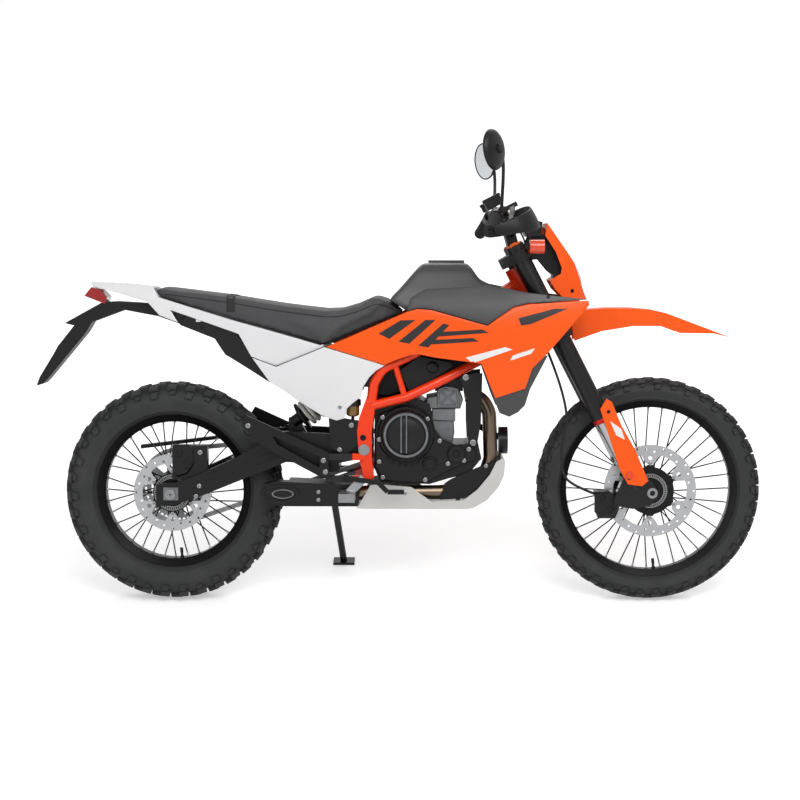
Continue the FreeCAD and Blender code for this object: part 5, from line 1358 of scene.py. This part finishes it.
nippleLook = {"rear": {"x": 0, "rim": 215, "hub": 48, "flangeHalf": 38, "body": "rear_wheel"},
              "front": {"x": wheelbase, "rim": 254, "hub": 38, "flangeHalf": 36, "body": "front_wheel"},
              "count": 36, "length": 13, "thick": 3, "lead": 26, "valveTurn": 5,
              "valve": ((0, -1), (6, -1), (6, 3), (4.2, 4), (4.2, 14), (5, 15), (5, 27), (4, 29), (0, 29))}


def addNipples(which):
    n, common = nippleLook[which], nippleLook
    centre = tyreRadius[which]
    thick, length = common["thick"], common["length"]
    profile = [(0, 0), (thick * 1.5, 0), (thick * 1.5, 3), (thick, 4.5), (thick, length - 1), (thick * 0.8, length),
               (0, length)]
    shapes = []
    for index in range(common["count"]):
        side = 1 if index % 2 else -1
        angle = 2 * pi * index / common["count"]
        lead = radians(common["lead"]) * (1 if (index // 2) % 2 else -1)
        top = bike(n["x"] + n["rim"] * sin(angle), side * 3.6, centre - n["rim"] * cos(angle))
        low = bike(n["x"] + n["hub"] * sin(angle + lead), side * n["flangeHalf"], centre - n["hub"] * cos(angle + lead))
        heading = (low - top).normalized()
        shapes.append(turnedShape(top - heading * 0.001, heading, profile, 10))
    addPiece(which + "Nipples", *merged(shapes), "zincPlatedSteel", n["body"])
    angle = radians(common["valveTurn"])
    foot = bike(n["x"] + (n["rim"] - 1) * sin(angle), 0, centre - (n["rim"] - 1) * cos(angle))
    heading = (bike(n["x"], 0, centre) - foot).normalized()
    addPiece(which + "Valve", *turnedShape(foot, heading, common["valve"], 20), "gripRubber", n["body"])


for which in ("rear", "front"):
    addNipples(which)


nutProfile = ((0, -1), (15.5, -1), (15.5, 4), (14, 5.5), (9, 5.5), (8, 3), (4, 3), (3.5, 0), (0, 0))
nutSpot = bike(0, faceOf("rear_axle", 0, tyreRadius["rear"]), tyreRadius["rear"])
addPiece("rearNut", *turnedShape(nutSpot, -leftward, nutProfile, 40), "zincPlatedSteel", "chassis")


# Grips: ribbed rubber sleeves over the plain ones

gripLook = {"near": (20, 245, 946), "far": (-32, 408, 908), "ribs": 26, "radius": 17.2, "groove": 15.6,
            "startShare": 0.29}


def addGrip(side, name):
    g = gripLook
    (u0, y0, s0), (u1, y1, s1) = g["near"], g["far"]
    start, end = steered(u0, side * y0, s0), steered(u1, side * y1, s1)
    first = start + (end - start) * g["startShare"]
    length = (end - start).length * 1000 * (1 - g["startShare"])
    rib, flange = g["radius"] + 0.7, g["radius"] + 1.5
    step = (length - 8) / g["ribs"]
    profile = [(11, 0.2), (16, 0.2)]
    for i in range(g["ribs"]):
        low = 0.5 + step * i
        profile += [(g["groove"], low), (rib, low + step * 0.25), (rib, low + step * 0.75),
                    (g["groove"], low + step * 0.98)]
    profile += [(flange, length - 7), (flange, length - 1), (g["radius"], length + 0.2), (0, length + 0.2)]
    addPiece("gripSleeve" + name, *turnedShape(first, end - start, profile, 28), "gripRubber", "steering")


addGrip(-1, "Right")
addGrip(1, "Left")
print("small parts set")


# Hoses and cables: tubes through their points. Lengths are in metres.

hoseLook = {
    "clutchCable": {"radius": 3, "length": 0.34,
                    "points": [(1000, 215, 1172), (1062, 190, 1176), (1098, 140, 1122), (1100, 92, 1064),
                               (1108, 58, 1010), (1132, 34, 972)]},
    "throttleCable": {"radius": 3, "length": 0.34,
                      "points": [(1000, -215, 1172), (1066, -190, 1172), (1102, -140, 1118), (1102, -92, 1060),
                                 (1110, -58, 1006), (1132, -34, 968)]},
    "frontBrakeHose": {"radius": 4, "length": 0.52, "replaces": "front_brake_hose",
                       "points": [(1157.9, -70, 774.3), (1225.7, -100, 606.1), (1196.2, -100, 489.5),
                                  (1202.1, -98, 400.5), (1239.0, -90, 364.9), (1306.9, -80, 338.2)]},
}


def addHose(name):
    h = hoseLook[name]
    points = [bike(*p) for p in h["points"]]
    piece = addTube(name, points, h["radius"], "gripRubber", "steering")
    if "replaces" in h:
        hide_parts(h["replaces"])
    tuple(points[0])


for name in hoseLook:
    addHose(name)
print("hoses laid")


# Seat: the foam swells under its cover in a short cloth simulation, then gets its seams and strap

seatLook = {"voxel": 6, "rounds": 6, "shrink": 2.5, "pressure": 4, "frames": 20, "swell": 5, "strapX": 187,
            "strapWide": 26, "strapThick": 1.6, "fan": (-14, 194, 41), "centre": 1.035, "seamRadius": 1.3,
            "seamFrom": -18, "seamTo": 700, "seamSpots": 40, "seamAcross": 30, "seamDrop": 22}


def seatMesh():
    seat = remeshed("seatPad", "seat", seatLook["voxel"], seatLook["rounds"])
    pull = seat.modifiers.new("pull", "DISPLACE")
    pull.mid_level = 0
    pull.strength = -seatLook["shrink"] / 1000
    baked(seat)
    return seat


def swellSeat(seat):
    before = [v.co.copy() for v in seat.data.vertices]
    cloth = seat.modifiers.new("foam", "CLOTH")
    settings = cloth.settings
    settings.use_pressure = True
    settings.uniform_pressure_force = seatLook["pressure"]
    settings.effector_weights.gravity = 0
    scene = bpy.context.scene
    for number in range(1, seatLook["frames"] + 1):
        scene.frame_set(number)
    most = seatLook["swell"] / 1000
    for vertex, start in zip(baked(seat).vertices, before):
        move = vertex.co - start
        if move.length > most:
            vertex.co = start + move.normalized() * most
    scene.frame_set(1)


def addSeat():
    seat = seatMesh()
    swellSeat(seat)
    smooth = seat.modifiers.new("smooth", "SMOOTH")
    smooth.iterations = 3
    fine = seat.modifiers.new("fine", "SUBSURF")
    fine.levels = fine.render_levels = 1
    mesh = baked(seat)
    mesh.materials.clear()
    mesh.materials.append(materials["seatVinyl"])
    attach(seat, "chassis")
    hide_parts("seat")
    return seat


def sectionOf(seat, x, lift):
    # points round the seat's top and sides at x, from low on the right to low on the left
    first, last, count = seatLook["fan"]
    found = []
    for i in range(count):
        angle = radians(first + (last - first) * i / (count - 1))
        heading = leftward * cos(angle) - upward * sin(angle)
        spot, normal = caughtOn(seat, bike(x, 0, seatHeight * seatLook["centre"]) - heading * 0.4, heading)
        if spot is not None:
            found.append(spot + normal * lift / 1000)
    return found


def addStrap(seat):
    half, thick = seatLook["strapWide"] / 2, seatLook["strapThick"]
    rows = [sectionOf(seat, seatLook["strapX"] + dx, lift)
            for dx, lift in ((-half, -0.5), (-half, thick * 0.8), (-half + 1.5, thick), (half - 1.5, thick),
                             (half, thick * 0.8), (half, -0.5))]
    count = min(len(row) for row in rows)
    rings = [[row[i] for row in rows] for i in range(count)]
    addPiece("seatStrap", *closedRings(rings), "seatStrapWeb", "chassis", 60)


def addSeams(seat):
    s = seatLook
    for side, name in ((-1, "Right"), (1, "Left")):
        line = []
        for i in range(s["seamSpots"]):
            x = s["seamFrom"] + (s["seamTo"] - s["seamFrom"]) * i / (s["seamSpots"] - 1)
            spot, normal = caughtOn(seat, bike(x, side * s["seamAcross"], 1300), -upward)
            if spot is None:
                continue
            height = (spot - groundPoint).dot(upward) * 1000 - s["seamDrop"]
            spot, normal = caughtOn(seat, bike(x, side * 400, height), -leftward * side)
            if spot is not None:
                line.append(spot + normal * s["seamRadius"] * 0.2 / 1000)
        addTube("seatSeam" + name, line, s["seamRadius"], "seatStrapWeb", "chassis")


seat = addSeat()
addStrap(seat)
addSeams(seat)
print("seat padded")


# Light and floor

studio = {"floorHalf": 30, "keyWatts": 150, "fillWatts": 26, "rimWatts": 70, "ambient": 0.36, "reflected": 0.5,
          "floorNear": 0.42, "floorFar": 0.85}


def addArea(name, watts, size, eye, aim):
    data = bpy.data.lights.new(name, "AREA")
    data.energy = watts
    data.shape = "RECTANGLE"
    data.size, data.size_y = size
    lamp = bpy.data.objects.new(name, data)
    bpy.context.collection.objects.link(lamp)
    lamp.location = eye
    lamp.rotation_euler = (Vector(aim) - Vector(eye)).to_track_quat("-Z", "Y").to_euler()


def seenDirectly(tree):
    # 1 where the camera, a reflection or a pane looks straight at the backdrop
    seen = addNode(tree, "ShaderNodeLightPath").outputs
    first = addNode(tree, "ShaderNodeMath", {"operation": "MAXIMUM"},
                    {0: seen["Is Camera Ray"], 1: seen["Is Transmission Ray"]})
    glossy = addNode(tree, "ShaderNodeMath", {"operation": "MULTIPLY", 1: studio["reflected"]},
                     {0: seen["Is Glossy Ray"]})
    both = {0: first.outputs["Value"], 1: glossy.outputs["Value"]}
    return addNode(tree, "ShaderNodeMath", {"operation": "MAXIMUM"}, both)


def addStudio():
    middle = (0, 0, 0.6)
    addArea("key", studio["keyWatts"], (4, 2.5), (1.2, -3.2, 4.2), middle)
    addArea("fill", studio["fillWatts"], (3, 3), (-3.5, -3.0, 2.0), middle)
    addArea("rim", studio["rimWatts"], (4, 1.5), (0, 3.5, 3.5), middle)
    world = bpy.data.worlds.new("studio")
    world.use_nodes = True
    bpy.context.scene.world = world
    tree = world.node_tree
    background = tree.nodes["Background"]
    background.inputs["Color"].default_value = linear("#FFFFFF")
    direct = seenDirectly(tree)
    strength = addNode(tree, "ShaderNodeMapRange", {"To Min": studio["ambient"], "To Max": 1},
                       {"Value": direct.outputs["Value"]})
    tree.links.new(strength.outputs["Result"], background.inputs["Strength"])
    half = studio["floorHalf"]
    mesh = bpy.data.meshes.new("floor")
    mesh.from_pydata([(-half, -half, 0), (half, -half, 0), (half, half, 0), (-half, half, 0)], [], [(0, 1, 2, 3)])
    floor = bpy.data.objects.new("floor", mesh)
    bpy.context.collection.objects.link(floor)
    material = bpy.data.materials.new("paleFloor")
    material.use_nodes = True
    tree = material.node_tree
    shader = tree.nodes["Principled BSDF"]
    shader.inputs["Base Color"].default_value = linear("#F4F4F4")
    shader.inputs["Roughness"].default_value = 0.9
    place = addNode(tree, "ShaderNodeTexCoord").outputs["Object"]
    away = addNode(tree, "ShaderNodeVectorMath", {"operation": "LENGTH"}, {0: place}).outputs["Value"]
    # the floor far off gets no lamp light, so there it glows more
    level = addNode(tree, "ShaderNodeMapRange", {"From Min": 1.2, "From Max": 6, "To Min": studio["floorNear"],
                                                 "To Max": studio["floorFar"]}, {"Value": away})
    direct = seenDirectly(tree).outputs["Value"]
    glow = addNode(tree, "ShaderNodeMath", {"operation": "MULTIPLY"}, {0: level.outputs["Result"], 1: direct})
    shader.inputs["Emission Color"].default_value = linear("#FFFFFF")
    tree.links.new(glow.outputs["Value"], shader.inputs["Emission Strength"])
    floor.data.materials.append(material)
    bpy.context.scene.view_settings.view_transform = "Standard"


addStudio()
print("studio lit")
